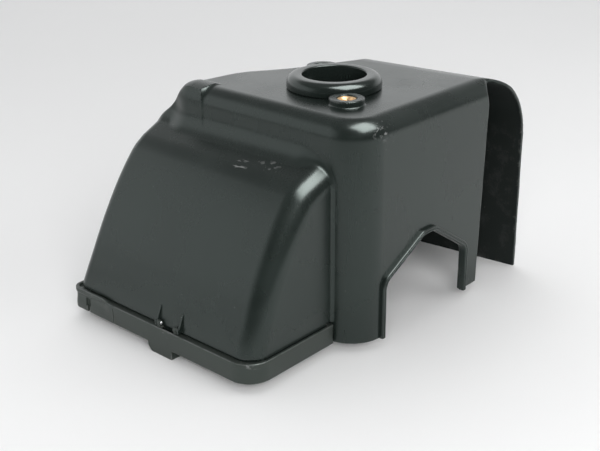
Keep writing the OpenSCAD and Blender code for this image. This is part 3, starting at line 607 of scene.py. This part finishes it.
def housing(x, y, z):
    h, rear = hood(x, y, z)
    s = snout(x, y, z)
    blend = 1.5 + 5.5 * smooth(z, 74, 84) * smooth(y, 16, 34)
    flare = np.maximum(snout(x, y, z, 0.9 * (1 - smooth(z, 11, 32))), SKIRT_Z - z)
    outer = ru(h, np.minimum(np.maximum(s, 5 - z), flare), blend)
    # gusset between the hood's far front corner and the snout
    gusset = ri(ri((y + z - 216.5) * cosd(45), y - 130.5, 6), slab(x, 2.5, 8), 1)
    outer = ru(outer, np.maximum(gusset, np.maximum(slab(z, 75, 105.5), 100 - y)), 5)
    # hollows of the hood and the snout, and the gap behind the snout's rear wall
    d = np.maximum(outer, -(h + WALL))
    d = np.maximum(d, -np.maximum(s + WALL, x + 7))
    d = ri(d, -box(x, y, z, (-4.5, 18, -40), (8, 100, 81.3), 1.5), 0.5)
    d = np.maximum(d, -box(x, y, z, (-4.5, 98, -40), (-2.5, 128.5, 77.7)))
    # bosses, port and screw posts
    for px, py in INSERTS:
        boss = ri(np.hypot(x - px, y - py) - 8.25, slab(z, 96.9, BOSS_TOP), 0.4)
        boss = np.maximum(boss, -np.maximum(np.hypot(x - NECK[0], y - NECK[1]) - 23.02, HOOD_H - z))
        d = ru(d, boss, 0.6)
    for py, pz in SCREWS:
        r = np.hypot(y - py, z - pz)
        d = ru(d, ri(r - 3.75, slab(x, -13.5, -5), 0.6), 0.8)
        d = np.maximum(d, -np.maximum(r - 1.52, slab(x, -13, 0)))
    port = np.hypot(y - OUTLET[0], z - OUTLET[1]) - PORT_R
    d = ri(d, -np.maximum(port, slab(x, -9, -2)), 0.5)
    d = ri(d, -np.maximum(np.hypot(x - NECK[0], y - NECK[1]) - 17.02, 100 - z), 0.3)
    for px, py in INSERTS:
        d = ri(d, -np.maximum(np.hypot(x - px, y - py) - INSERT_R - 0.02, 90 - z), 0.5)
    # openings and lower edges
    arch = poly(x, z, ARCH, ARCH_R)
    d = ri(d, -np.maximum(z, rear + 7.5), 0.4)
    d = ri(d, FLOOR_Z - z, 0.4)
    inner = ri(rear + REAR_WALL, z - HOOD_H + REAR_WALL, ROLL_R - REAR_WALL)
    corner = ri(99.4 + 0.03 * z - x, inner, 7)
    d = ri(d, -np.maximum(corner, y - 58), 0.4 + 3 * smooth(z, 94, 103) * (1 - smooth(x, 104, 112)))
    d = ri(d, -np.maximum(arch, y - 12), 0.6)
    d = np.maximum(d, -box(x, y, z, (-4, 0, -20), (0, 200, SKIRT_Z)))
    d = ri(d, -box(x, y, z, (-60, 0, -20), (0.3, 14.9, SKIRT_Z)), 0.3)
    d = ri(d, -box(x, y, z, (-60, 131.3, -20), (12, 200, SKIRT_Z)), 0.3)
    # catch for the latch
    catch = poly(x, z, [(-5, 12), (-4.5, 12), (-1.5, 15), (-1.5, 15.8), (-4.5, 18), (-5, 18)])
    return ru(d, ri(catch, slab(y, *LATCH_Y), 0.2), 0.5)


def hinge(x, z):
    """Distance from the hinge's axis"""
    return np.hypot(x - HINGE[0], z - HINGE[1])


def pivot(x, z):
    """Distance from the latch's axis"""
    return np.hypot(x - LATCH[0], z - LATCH[1])


def ears(x, y, z):
    """Two triangular plates on the snout's face, bored for the hinge pins"""
    apex = 19.2
    tip = face_x(apex)
    plate = poly(x, z, [(-55.6, SKIRT_Z), (face_x(11), SKIRT_Z), (tip, apex), (tip - 0.9, apex)], 0.05)
    both = np.minimum.reduce([slab(y, v, v + EAR_T) for v in EARS])
    d = ri(np.minimum(plate, hinge(x, z) - 1.1), both, 0.1)
    return np.maximum(d, -np.maximum(hinge(x, z) - 0.82, EARS[0] + 0.35 - y))


def arch_rim(name):
    """Double bead round the arch, as a section of (distance out from the opening, y) led along its outline"""
    proud, bead = 1.15, 0.65
    section = [(0, 1.0), (0, 0)]
    section += arc(bead, -proud, bead, 180, 325, 10)
    section += arc(3 * bead, -proud, bead, 215, 360, 10)
    section += [(4 * bead, 0), (4 * bead, 1.0)]
    rows = []
    for out, y in section:
        row = [(ARCH_REAR + out, y, 0)]
        for k in range(2, 6):
            a, b = ARCH[k] - ARCH[k - 1], ARCH[(k + 1) % 6] - ARCH[k]
            turn = [math.degrees(math.atan2(-v[0], v[1])) for v in (a, b)]
            if turn[1] < turn[0]:
                turn[1] += 360
            row += [(u, y, v) for u, v in arc(ARCH[k][0], ARCH[k][1], ARCH_R + out, *turn, 14)]
        rows.append(row + [(ARCH_FRONT - out, y, 0)])
    n, m = len(rows), len(rows[0])
    i = np.arange(n * m).reshape(n, m)
    j = np.roll(i, -1, 0)
    faces = np.stack([i[:, :-1], j[:, :-1], j[:, 1:], i[:, 1:]], -1).reshape(-1, 4).tolist()
    for end in (0, m - 1):
        faces += [(k * m + end, (k + 1) * m + end, (n - 2 - k) * m + end, (n - 1 - k) * m + end)
                  for k in range(n // 2 - 1)]
    return tidy_normals(mesh_object(name, np.array(rows).reshape(-1, 3), faces))


# Scuffs: place, size of the patch, stretch of its strokes, strength
housing_scuffs = [
    ((-14, 58, 82.5), (5, 6, 5), (1, 0.25, 1), 0.75),
    ((-10, 44, 84), (6, 9, 5), (0.6, 0.5, 1), 0.3),
    ((17, 1.5, 102), (7, 5, 6), (0.5, 1, 0.7), 0.6),
    ((-44, 17, 46), (5, 4, 9), (1, 1, 0.2), 0.6),
    ((-46, 20, 41), (3, 3, 4), (1, 1, 0.2), 0.4),
]
ejector_ring = ((74, 27, HOOD_H), 6)
# the hood's inside behind x = 98 gets painted shade in its colour and a matt skin
black = plastic("black_plastic", 0.013, 0.017, 0.28, COOL, housing_scuffs, ejector_ring, shade_and_matt_from_x=98)
housing_shell = solid("housing_shell_skin", housing, (-57, -3, -5), (141, 136, 112), 0.65, 0.4)
hinge_ears = solid("hinge_ear_pair", ears, (-57, 58.5, 9), (-48, 76.5, 23), 0.2, 0.5, 0)
for piece in (housing_shell, hinge_ears, arch_rim("arch_rim_bead")):
    finish(piece, "housing_shell", black)

collar = [(15.5, 104.0), (15.8, 103.65), (16.7, 103.65), (17, 104.0), (17, HOOD_H), (22, HOOD_H)]
collar += arc(22.2, HOOD_H + 0.8, 0.8, -90, 0, 5) + arc(18.9, 109.8, 4.1, 0, 90, 12)
collar += arc(16.2, 113.2, 0.7, 90, 180, 5)
neck_collar = lathe("neck_collar_ring", collar, (*NECK, 0), steps=128)
collar_plastic = plastic("collar_plastic", 0.012, 0.016, 0.24, COOL)
finish(neck_collar, "neck_collar", collar_plastic)


def insert_thread(r, a, l):
    """Thread of 1 mm pitch cut outwards from the bore"""
    phase = (l - a / (2 * math.pi)) % 1.0
    return np.where((r < 2.51) & (l < BOSS_TOP - 2), 0.45 * (1 - np.abs(2 * phase - 1)), 0)


top, low = BOSS_TOP - 0.6, BOSS_TOP - 11
insert = [(2.5, low + 0.125 * k) for k in range(73)] + [(2.6, top - 1.2), (3.0, top - 0.4), (3.3, top)]
insert += [(INSERT_R - 0.25, top), (INSERT_R, top - 0.25)]
for k in range(4):
    groove = top - 2.4 * k
    insert += [(INSERT_R, groove - 1.5), (INSERT_R - 0.4, groove - 1.8)]
    insert += [(INSERT_R - 0.4, groove - 2.4), (INSERT_R, groove - 2.7)]
insert += [(INSERT_R, low + 0.3), (INSERT_R - 0.3, low)]
threaded_inserts = lathe("threaded_insert_pair", insert, (0, 0, 0), steps=48, wave=insert_thread)
threaded_inserts = copies("threaded_insert_pair", threaded_inserts, [(x, y, 0) for x, y in INSERTS])
brass = metal("brass", (0.8, 0.55, 0.3, 1), (0.55, 0.36, 0.2, 1), 0.34)
finish(threaded_inserts, "threaded_inserts", brass)


# Outlet

steel = metal("zinc_steel", (0.66, 0.67, 0.68, 1), (0.42, 0.42, 0.41, 1), 0.28)
grey_plastic = plastic("grey_plastic", 0.045, 0.056, 0.42)
soft_rubber = rubber("boot_rubber", 0.014, 0.62)


def plate(y, z, r):
    """Outline of the flange"""
    return plan(y, z, (48, 27), (98, 77), (r, r, r, r))


def screw_hole(y, z):
    return np.minimum.reduce([np.hypot(y - py, z - pz) for py, pz in SCREWS]) - 1.8


def gasket(x, y, z):
    hole = PORT_R - np.hypot(y - OUTLET[0], z - OUTLET[1])
    shape = np.maximum(np.maximum(plate(y, z, 3), hole), -screw_hole(y, z))
    return ri(shape, slab(x, -4.5, -3.5), 0.25)


def adapter(x, y, z):
    r = np.hypot(y - OUTLET[0], z - OUTLET[1])
    d = ri(plate(y, z, 3), slab(x, -3.5, -0.5), 0.5)
    d = ru(d, ri(r - 18, slab(x, -3.5, 15.5), 0.6), 1.8)
    d = ri(d, PORT_R - r, 0.4)
    return ri(d, -screw_hole(y, z), 0.25)


outlet_gasket = solid("outlet_gasket_sheet", gasket, (-5, 47, 26), (-3, 99, 78), 0.4, 0.1)
finish(outlet_gasket, "outlet_gasket", rubber("gasket_rubber", 0.02, 0.7))
outlet_adapter = solid("outlet_adapter_spigot", adapter, (-4, 47, 26), (16, 99, 78), 0.6, 0.3)
finish(outlet_adapter, "outlet_adapter", grey_plastic)


def flange_screw(x, y, z):
    """Pan-head screw about the x axis, with a cross recess"""
    r = np.hypot(y, z)
    head = ri(r - 3 + 0.25 * (x + 0.5), slab(x, -0.5, 1.5), 0.7)
    upright = np.maximum(np.abs(y) - 0.42, np.abs(z) - 1.6)
    level = np.maximum(np.abs(z) - 0.42, np.abs(y) - 1.6)
    head = ri(head, -np.maximum(np.minimum(upright, level), 0.5 + 0.3 * r - x), 0.1)
    shank = r - 1.5 + 0.22 * np.abs(2 * ((x / 0.8 + np.arctan2(y, z) / (2 * math.pi)) % 1.0) - 1)
    return np.minimum(head, np.maximum(shank, slab(x, -9.5, 0)))


outlet_screws = solid("outlet_screw_set", flange_screw, (-10, -3.2, -3.2), (2, 3.2, 3.2), 0.2, 0.6)
outlet_screws = copies("outlet_screw_set", outlet_screws, [(0, py, pz) for py, pz in SCREWS])
finish(outlet_screws, "outlet_screws", steel)

BOOT_IN, BOOT_OUT, BOOT_START, BOOT_END = 18.02, 21.02, 3.0, 37.0
BEADS = (BOOT_START, (BOOT_START + BOOT_END) / 2 - 1, BOOT_END - 2)
boot = arc(BOOT_IN + 0.5, BOOT_START + 0.5, 0.5, 180, 270, 4)
for bead in BEADS:
    boot += [(BOOT_OUT, bead + 0.01)] if bead > BEADS[0] else []
    boot += arc(BOOT_OUT + 0.4, bead + 0.6, 0.6, -90, 0, 4)
    boot += arc(BOOT_OUT + 0.4, bead + 1.4, 0.6, 0, 90, 4)
    boot += [(BOOT_OUT, bead + 1.99)] if bead < BEADS[2] else []
boot += arc(BOOT_IN + 0.5, BOOT_END - 0.5, 0.5, 90, 180, 4)
# stop ring inside, which the spigot's end meets
boot += [(BOOT_IN, 17.8), (BOOT_IN - 1.6, 17.8), (BOOT_IN - 2, 17.4)]
boot += [(BOOT_IN - 2, 16.2), (BOOT_IN - 1.6, 15.8), (BOOT_IN, 15.8)]
outlet_boot = lathe("outlet_boot_sleeve", boot, (0, *OUTLET), "x", 112)
finish(outlet_boot, "outlet_boot", soft_rubber)

CLAMPS = (6.0, 26.0)
BAND = (21.04, 21.94)


def clamp(x, y, z):
    """Worm-drive band clamp from x = 0, about the outlet's axis"""
    y, z = y - OUTLET[0], z - OUTLET[1]
    r, a = np.hypot(y, z), np.arctan2(y, z)
    band = ri(slab(r, *BAND), slab(x, 0, 8), 0.2)
    along = a * BAND[1] + 0.3 * (x - 4)
    slot = np.maximum(np.abs((along + 1.2) % 2.4 - 1.2) - 0.45, np.abs(x - 4) - 2.6)
    slot = np.maximum(slot, np.abs(a) - 1.7)
    band = ri(band, -np.maximum(slot, BAND[1] - 0.45 - r), 0.1)
    saddle = ri(box(x, y, z, (0, -5, 20), (8, 5, BAND[1] + 6), 0.9), BAND[0] + 0.4 - r, 0.2)
    saddle = ri(saddle, np.hypot(x - 4, (z - BAND[1] - 2.2) * 1.05) - 4.4, 0.6)
    saddle = ri(saddle, 2.02 - np.hypot(x - 4, z - BAND[1] - 3), 0.2)
    return ru(band, saddle, 0.3)


def clamp_screw(x, y, z):
    """Worm screw along y with a slotted hexagon head, for a clamp from x = 0"""
    y, u, v = y - OUTLET[0], x - 4, z - OUTLET[1] - BAND[1] - 3
    r = np.hypot(u, v)
    worm = r - 2 + 0.35 * np.abs(2 * ((y / 1.6 + np.arctan2(u, v) / (2 * math.pi)) % 1.0) - 1)
    worm = ri(worm, slab(y, -6, 6), 0.3)
    hexagon = np.maximum.reduce([np.abs(u * cosd(a) + v * sind(a)) for a in (30, 90, 150)]) - 2.42
    head = ri(ri(hexagon, slab(y, -8.8, -6.3), 0.2), r - 2.75, 0.2)
    head = ri(head, -np.maximum(np.abs(v) - 0.5, y + 7.8), 0.1)
    return np.minimum(worm, np.minimum(head, np.maximum(r - 1.6, slab(y, -6.6, -5.8))))


boot_clamps = solid("boot_clamp_pair", clamp, (-0.2, 50.5, 29.5), (8.2, 95.5, 81), 0.35, 0.35)
boot_clamps = copies("boot_clamp_pair", boot_clamps, [(x, 0, 0) for x in CLAMPS])
finish(boot_clamps, "boot_clamps", steel)
clamp_screws = solid("clamp_screw_pair", clamp_screw, (0.5, 64, 73), (7.5, 79.5, 81), 0.2, 0.6)
clamp_screws = copies("clamp_screw_pair", clamp_screws, [(x, 0, 0) for x in CLAMPS])
finish(clamp_screws, "clamp_screws", steel)


# Tray

TRAY_LOW, TRAY_HIGH, TRAY_H = (-56.1666, 13.0), (-0.5, 137.6), 10.0
ELEMENT_LOW, ELEMENT_HIGH = (-44.4372, 23.0), (-13.9372, 123.0)
TRAY_FLOOR = 2.5
LUG = (64.4, 80.8)
KNUCKLES = (61.05, 71.95)


def element(x, y, grow, r):
    """Outline of the filter element, grown"""
    low = [v - grow for v in ELEMENT_LOW]
    high = [v + grow for v in ELEMENT_HIGH]
    return plan(x, y, low, high, (r, r, r, r))


def tray(x, y, z):
    edge = plan(x, y, TRAY_LOW, TRAY_HIGH, (12, 1.2, 2.2, 5))
    far = smooth(y, 108, 114)
    wall = edge + 0.45 * far * smooth(z, 2, 7)
    d = ri(ri(wall, z - TRAY_H, 0.5), -z, 0.6)
    # thin lip round the far end
    lip = ri(ri(slab(edge, -1.8, 0), z - TRAY_H + 0.3 - 1.5 * far, 0.6), 8.6 - z, 0.5)
    d = ru(d, np.maximum(lip, 109 - y), 0.2)
    pocket = plan(x, y, (-53.9666, 14.2), (-3.1, 131.8), (9.8, 1, 1, 9.8))
    d = ri(d, -np.maximum(pocket, TRAY_FLOOR - z), 0.4)
    # the rim's lip that closes in on the snout
    rim = np.maximum(ri(0.35 - snout(x, y, z), edge + 1, 0.2), y - 128)
    d = ru(d, ri(rim, slab(z, 8.8, TRAY_H), 0.2), 0.2)
    # ring that the element sits on
    ring = np.maximum(element(x, y, 2, 1), -element(x, y, 0, 0.5))
    d = ru(d, ri(ring, slab(z, 2, 6), 0.3), 0.5)
    # lug with a chamfered far corner, rear feet
    lug = box(x, y, z, (TRAY_LOW[0], LUG[0], FLOOR_Z), (-49.1666, LUG[1], 2), 0.4)
    lug = ri(lug, (y - LUG[1]) * 0.75 - (z + 1.8) * 0.66, 0.3)
    d = np.maximum(ru(d, lug, 0.5), TRAY_LOW[0] - x)
    for foot in (44, 102):
        d = ru(d, box(x, y, z, (-9.9, foot - 5, FLOOR_Z), (-2.9, foot + 5, 2), 0.5), 0.5)
    # hollow in the rim between the knuckles
    d = ri(d, -box(x, y, z, (-55.3, 63.3, 6.8), (-53, 71.7, 12), 0.3), 0.2)
    # latch lugs
    arm = poly(x, z, [(-1.4, 1.2), (LATCH[0], LATCH[1] - 2), (LATCH[0], LATCH[1] + 2), (-1.4, 9.3)], 0.2)
    arm = np.minimum(arm, pivot(x, z) - LATCH_R)
    both = np.minimum(slab(y, 63.7, 65.7), slab(y, 80.3, 82.3))
    d = ru(d, ri(arm, both, 0.3), 0.4)
    # air slots, clip slot, mould line and bores
    for s in range(4):
        x0 = ELEMENT_LOW[0] + 1.6 + (s + 0.5) * 6.825 - 2.3
        for y0 in (27.6, 76.0):
            slot = plan(x, y, (x0, y0), (x0 + 4.6, y0 + 42.4), (1, 1, 1, 1))
            d = ri(d, -np.maximum(slot, z - 4), 0.4)
    clip = np.minimum(box(x, y, z, (-60, 123.6, 3.2), (-54.7, 127, 7.4), 0.4),
                      box(x, y, z, (-60, 124.4, -9), (-54.9, 126, 5), 0.3))
    d = ri(d, -clip, 0.2)
    d = ri(d, -box(x, y, z, (-60, 105.4, -9), (-55.85, 106.1, 8.2)), 0.2)
    return np.maximum(d, -np.maximum(pivot(x, z) - 1.02, slab(y, 60, 86)))


def knuckles(x, y, z):
    """Two posts on the tray's rim, bored for the hinge pins"""
    post = ru(hinge(x, z) - 1.25, np.maximum(slab(x, -55.5, -53.7), slab(z, 8.2, HINGE[1])), 0.3)
    both = np.minimum.reduce([slab(y, v, v + 2) for v in KNUCKLES])
    return np.maximum(ri(post, both, 0.15), 0.77 - hinge(x, z))


tray_scuffs = [
    ((-53, 14, 10), (10, 9, 3), (0.5, 0.5, 1), 0.5),
    ((-56, 125, 11), (3, 9, 2), (1, 0.3, 1), 0.6),
    ((-56, 68, 9), (3, 10, 3), (1, 0.3, 1), 0.35),
]
tray_plastic = plastic("tray_plastic", 0.023, 0.03, 0.36, OLIVE, tray_scuffs, rub=(0.42, 0.25))
filter_tray = solid("filter_tray_skin", tray, (-57, 11, -5), (7, 139, 14), 0.5, 0.4, 0.5)
hinge_knuckles = solid("hinge_knuckle_pair", knuckles, (-57, 60.5, 8), (-52, 74.5, 14), 0.2, 0.5, 0)
for piece in (filter_tray, hinge_knuckles):
    finish(piece, "filter_tray", tray_plastic)


def tray_seal(x, y, z):
    """Seal in the tray with a rounded lip that the snout's skirt presses on"""
    line = np.abs(plan(x, y, (-52.1166, 16.25), (-5.75, 129.75), (7.75, 2, 2, 7.75)))
    lips = ri(np.abs(line - 0.95) - 0.6, z - 4.7, 0.55)
    return np.maximum(ru(ri(line - 1.55, z - 4.0, 0.4), lips, 0.3), TRAY_FLOOR - z)


tray_gasket = solid("tray_seal_ring", tray_seal, (-54, 14, 2), (-3.5, 132, 5), 0.45, 0.3)
finish(tray_gasket, "tray_gasket", rubber("seal_rubber", 0.018, 0.6))


def pin(name, r, place, length):
    """Pin along y with chamfered ends"""
    rim = min(0.25, r / 3)
    outline = [(0.01, 0), (r - rim, 0), (r, rim), (r, length - rim), (r - rim, length), (0.01, length)]
    return lathe(name, outline, place, "y", 32)


hinge_pins = pin("hinge_pin_pair", 0.75, (HINGE[0], 0, HINGE[1]), 3.5)
hinge_pins = copies("hinge_pin_pair", hinge_pins, [(0, 59.8, 0), (0, 71.65, 0)])
finish(hinge_pins, "hinge_pins", steel)


# Filter element

def element_body(x, y, z):
    """Frame round the pleats, with a foot all round"""
    wall = np.maximum(element(x, y, 0, 1.2), -element(x, y, -1.6, 0.6))
    d = ri(wall, slab(z, 9, 26), 0.4)
    foot = np.maximum(element(x, y, 2, 1.5), -element(x, y, -3.2, 0.5))
    return ru(d, ri(foot, slab(z, 9, 10.2), 0.3), 0.4)


def element_seal(x, y, z):
    ring = np.maximum(element(x, y, 2, 1.5), -element(x, y, -1.6, 1))
    return ri(ring, slab(z, 6, 9), 0.7)


frame_wall = solid("element_frame_wall", element_body, (-47, 20, 8), (-11, 126, 27), 0.5, 0.3)
finish(frame_wall, "element_frame", grey_plastic)
seal_ring = solid("element_seal_ring", element_seal, (-47, 20, 5), (-11, 126, 10), 0.5, 0.3)
finish(seal_ring, "element_seal", rubber("foam_rubber", 0.03, 0.8))


def folded_sheet(name, low, high, count, thick, lengthwise=16):
    """Pleated sheet between two corners: folds run along x, with round crests and slightly bowed flanks"""
    pitch = (high[1] - low[1]) / count
    rise = high[2] - low[2] - thick
    fold = 0.16 * pitch
    line = []
    for k in range(count):
        y = low[1] + k * pitch
        for t in np.arange(24) / 24:
            tri = 1 - abs(2 * t - 1)
            level = 0.5 - 0.5 * math.cos(math.pi * tri)
            flank = np.clip((tri * pitch / 2 - fold) / (pitch / 2 - 2 * fold), 0, 1)
            line.append((y + t * pitch, low[2] + thick / 2 + rise * (0.12 * level + 0.88 * flank)))
    # the sheet starts a quarter of a pleat in
    line = np.array(line[6:])
    slope = np.gradient(line, axis=0)
    slope /= np.linalg.norm(slope, axis=1)[:, None]
    side = np.stack([-slope[:, 1], slope[:, 0]], 1) * thick / 2
    ring = np.concatenate([line + side, (line - side)[::-1]])
    ring[:, 0] = np.clip(ring[:, 0], low[1], high[1])
    ring[:, 1] = np.clip(ring[:, 1], low[2], high[2])
    xs = np.linspace(low[0], high[0], lengthwise)
    sway = 0.1 * np.sin(xs[:, None] * 0.9 + 2.1 * np.floor(ring[None, :, 0] / pitch))
    sway *= np.sin(np.pi * (ring[None, :, 1] - low[2]) / (high[2] - low[2]))
    v = np.stack([np.repeat(xs[:, None], len(ring), 1), ring[None, :, 0] + sway,
                  np.repeat(ring[None, :, 1], len(xs), 0)], -1)
    n = len(ring)
    i = np.arange(n * len(xs)).reshape(len(xs), n)
    j = np.roll(i, -1, 1)
    faces = np.stack([i[:-1], j[:-1], j[1:], i[1:]], -1).reshape(-1, 4).tolist()
    for end in (0, n * (len(xs) - 1)):
        faces += [(end + k, end + k + 1, end + n - 2 - k, end + n - 1 - k) for k in range(n // 2 - 1)]
    return tidy_normals(mesh_object(name, v.reshape(-1, 3), faces), 60)


pleat_pack = folded_sheet("pleated_paper", (-42.5372, 24.9, 10.2), (-15.8372, 121.1, 24.2), 24, 0.6)
finish(pleat_pack, "pleat_pack", filter_paper())

# Woven screen: wires along the element, then across it, bent over and under each other
WIRE, WEAVE, SCREEN_Z = 0.26, 0.13, 24.6
wires = []
for k in range(6):
    x = -42.4 + WIRE + k * (26.4 - 2 * WIRE) / 5
    ys = np.linspace(25.0, 121.0, 145)
    weave = WEAVE * np.cos(math.pi * (ys - 25.0) / 6.4 + math.pi * k)
    wires.append(np.stack([np.full_like(ys, x), ys, SCREEN_Z + weave], 1))
for k in range(16):
    y = 25.3 + k * 95.4 / 15
    xs = np.linspace(-42.45, -15.95, 41)
    weave = -WEAVE * np.cos(math.pi * (xs + 42.14) / 5.176 + math.pi * k)
    wires.append(np.stack([xs, np.full_like(xs, y), SCREEN_Z + weave], 1))
finish(sweep("support_screen_wires", wires, WIRE), "support_screen", steel)


def foam_pad(x, y, z):
    """Crowned pad whose sides draw in between its corners"""
    u = (x + 29.19) / 14.95
    v = (y - 73.0) / 49.7
    side = plan(x, y, (-44.1372, 23.3), (-14.2372, 122.7), (2, 2, 2, 2)) + 0.5 * (1 - u * u) * (1 - v * v)
    side += 0.35 * np.where(np.abs(u) > np.abs(v), 1 - v * v, 1 - u * u)
    crown = z - 5.5 + 0.5 * np.maximum(np.abs(u), np.abs(v)) ** 4
    return ri(ri(side, crown, 0.9), TRAY_FLOOR - z, 0.5)


precleaner_foam = solid("precleaner_foam_pad", foam_pad, (-45, 22.5, 2), (-13.5, 123.5, 6), 0.5, 0.4)
finish(precleaner_foam, "precleaner_foam", open_cell_foam())


# Latch

CATCH_SLOPE = 0.7333


def catch_top(x):
    """Height of the catch's upper slope"""
    return 18 - (x + 4.5) * CATCH_SLOPE


HOOK_X, ARM_X, ARM_REAR = -3.9, 0.3, 3.3
TAB = (7.0, catch_top(ARM_X) + 10)


def latch(x, y, z):
    """Sprung hook with a thumb tab"""
    gap, edge = 0.45, 0.25
    hook = catch_top(HOOK_X)
    profile = [
        (LATCH[0] - LATCH_R, LATCH[1] - 0.5), (ARM_X, 9.5), (ARM_X, catch_top(ARM_X) + gap),
        (HOOK_X, hook + gap), (HOOK_X, hook + gap + 1), (ARM_X, hook + 3), (ARM_REAR - 0.5, hook + 3), TAB,
        (TAB[0] + 0.8, TAB[1] - 1), (ARM_REAR, hook), (ARM_REAR, 9.5), (LATCH[0] + LATCH_R, LATCH[1] + 0.5)]
    d = poly(x, z, profile)
    d = np.minimum(d, pivot(x, z) - LATCH_R)
    d = np.minimum(d, np.maximum(slab(x, 2.8, 5.2), slab(z, 1.5, 5.5)))
    d = ri(d, slab(y, *LATCH_Y), edge)
    return np.maximum(d, 1.06 - pivot(x, z))


latch_lever = solid("latch_lever_hook", latch, (-4.5, 65.5, 1), (8.5, 80.5, 25.5), 0.3, 0.4)
finish(latch_lever, "latch_lever", grey_plastic)
latch_pin = pin("latch_pivot_pin", 1.0, (LATCH[0], 63.4, LATCH[1]), 19.2)
finish(latch_pin, "latch_pin", steel)


def leaf(x, y, z):
    """Bent strip between the tray and the lever"""
    strip = poly(x, z, [(-0.9, 8.8), (-0.9, 6.4), (2.1, 2.3), (2.5, 2.3), (-0.5, 6.6), (-0.5, 8.8)])
    return ri(strip, slab(y, 69.5, 76.5), 0.08)


spring_steel = metal("spring_steel", (0.5, 0.5, 0.51, 1), (0.3, 0.29, 0.3, 1), 0.24, (1, 0.1, 1))
latch_spring = solid("latch_leaf", leaf, (-1.2, 69.2, 2), (2.8, 76.8, 9), 0.14, 0.4)
finish(latch_spring, "latch_spring", spring_steel)


# Camera, floor and light

# The picture's directions and the camera's place, in the row frame
right = (0.66488896, -0.7469145, -0.00643482)
down = (-0.29363696, -0.25344931, -0.92170537)
ahead = (0.6868042, 0.61472122, -0.38783735)
eye = (-0.37414, -0.33176, 0.24624)
FOCAL_PX, WIDTH_PX, SENSOR = 1051, 600, 36
cam = bpy.data.objects.new("camera", bpy.data.cameras.new("camera"))
bpy.context.scene.collection.objects.link(cam)
cam.data.sensor_width = SENSOR
cam.data.lens = FOCAL_PX / WIDTH_PX * SENSOR
cam.data.clip_start = 0.01
rows = [(right[k], -down[k], -ahead[k], eye[k]) for k in range(3)]
cam.matrix_world = Matrix(rows + [(0, 0, 0, 1)])
bpy.context.scene.camera = cam

# Paper floor, painted grey as shade in front of the object, below the picture
FLOOR_R = 6000
disc = [(0.01, 0), (FLOOR_R, 0), (FLOOR_R, -20), (0.01, -20)]
floor = lathe("floor", disc, ORIGIN + (0, 0, -0.02), steps=64)
paper = Shader("floor_paper")
painted_front_shade = paper.vector("DOT_PRODUCT", paper.place, (-0.745, -0.667, 0))["Value"]
painted_front_shade = paper.ramp(painted_front_shade, 0.22, 0.5)
pale = paper.blend(paper.noise(300, 2), grey(0.88), grey(0.91))
paper.set(base_color=paper.blend(painted_front_shade, pale, grey(0.35)), roughness=0.8)
floor.data.materials.append(paper.material)

# The room: a pale backdrop low on the far side, dark elsewhere
world = bpy.data.worlds.new("studio")
bpy.context.scene.world = world
world.use_nodes = True
background = world.node_tree.nodes["Background"]


def room(kind, inputs=(), **settings):
    return add_node(world.node_tree, kind, inputs, **settings).outputs


look = room("ShaderNodeTexCoord")["Generated"]
side = room("ShaderNodeVectorMath", {0: look, 1: (0.35, 0.937, 0)}, operation="DOT_PRODUCT")["Value"]
height = room("ShaderNodeVectorMath", {0: look, 1: (0.06, -0.18, 1)}, operation="DOT_PRODUCT")["Value"]
back = room("ShaderNodeMapRange", {0: side, 1: -0.45, 2: 0.25}, interpolation_type="SMOOTHSTEP")[0]
below = room("ShaderNodeMapRange", {0: height, 1: 0.56, 2: 0.4, 3: 0.18}, interpolation_type="SMOOTHSTEP")[0]
backdrop = room("ShaderNodeMath", {0: back, 1: below}, operation="MULTIPLY")[0]
strength = room("ShaderNodeMath", {0: backdrop, 1: 1.05, 2: 0.1}, operation="MULTIPLY_ADD")[0]
seen = room("ShaderNodeLightPath")["Is Camera Ray"]
shown = room("ShaderNodeMix", {0: seen, 2: strength, 3: 0.8})[0]
put(world.node_tree, background.inputs[0], (0.98, 0.99, 1.0, 1))
put(world.node_tree, background.inputs[1], shown)


def area(name, place, target, size, power, mirrored=False):
    """Lamp that is either seen as a reflection or lights matt surfaces"""
    light = bpy.data.lights.new(name, "AREA")
    light.shape = "RECTANGLE"
    light.size, light.size_y = size
    light.energy = power
    o = bpy.data.objects.new(name, light)
    bpy.context.scene.collection.objects.link(o)
    o.location = place
    o.rotation_euler = (Vector(target) - Vector(place)).to_track_quat("-Z", "Y").to_euler()
    o.visible_glossy = mirrored
    o.visible_diffuse = not mirrored


area("softbox", (0.08, -0.58, 1.2), (0, 0, 0.1), (1.05, 1.05), 42, mirrored=True)
area("overhead", (0.25, 0.2, 1.9), (0.25, 0.2, 0), (1.6, 1.6), 8)
area("fill_left", (-0.7, -0.8, 0.55), (0, 0, 0), (0.8, 0.6), 10.5)
area("fill_right", (0.5, -0.85, 0.5), (0.05, 0, 0), (0.8, 0.6), 3)
area("backdrop_light", (1.5, 1.35, 1.7), (1.2, 1.1, 0), (2.4, 1.2), 11)

bpy.context.scene.view_settings.view_transform = "Standard"
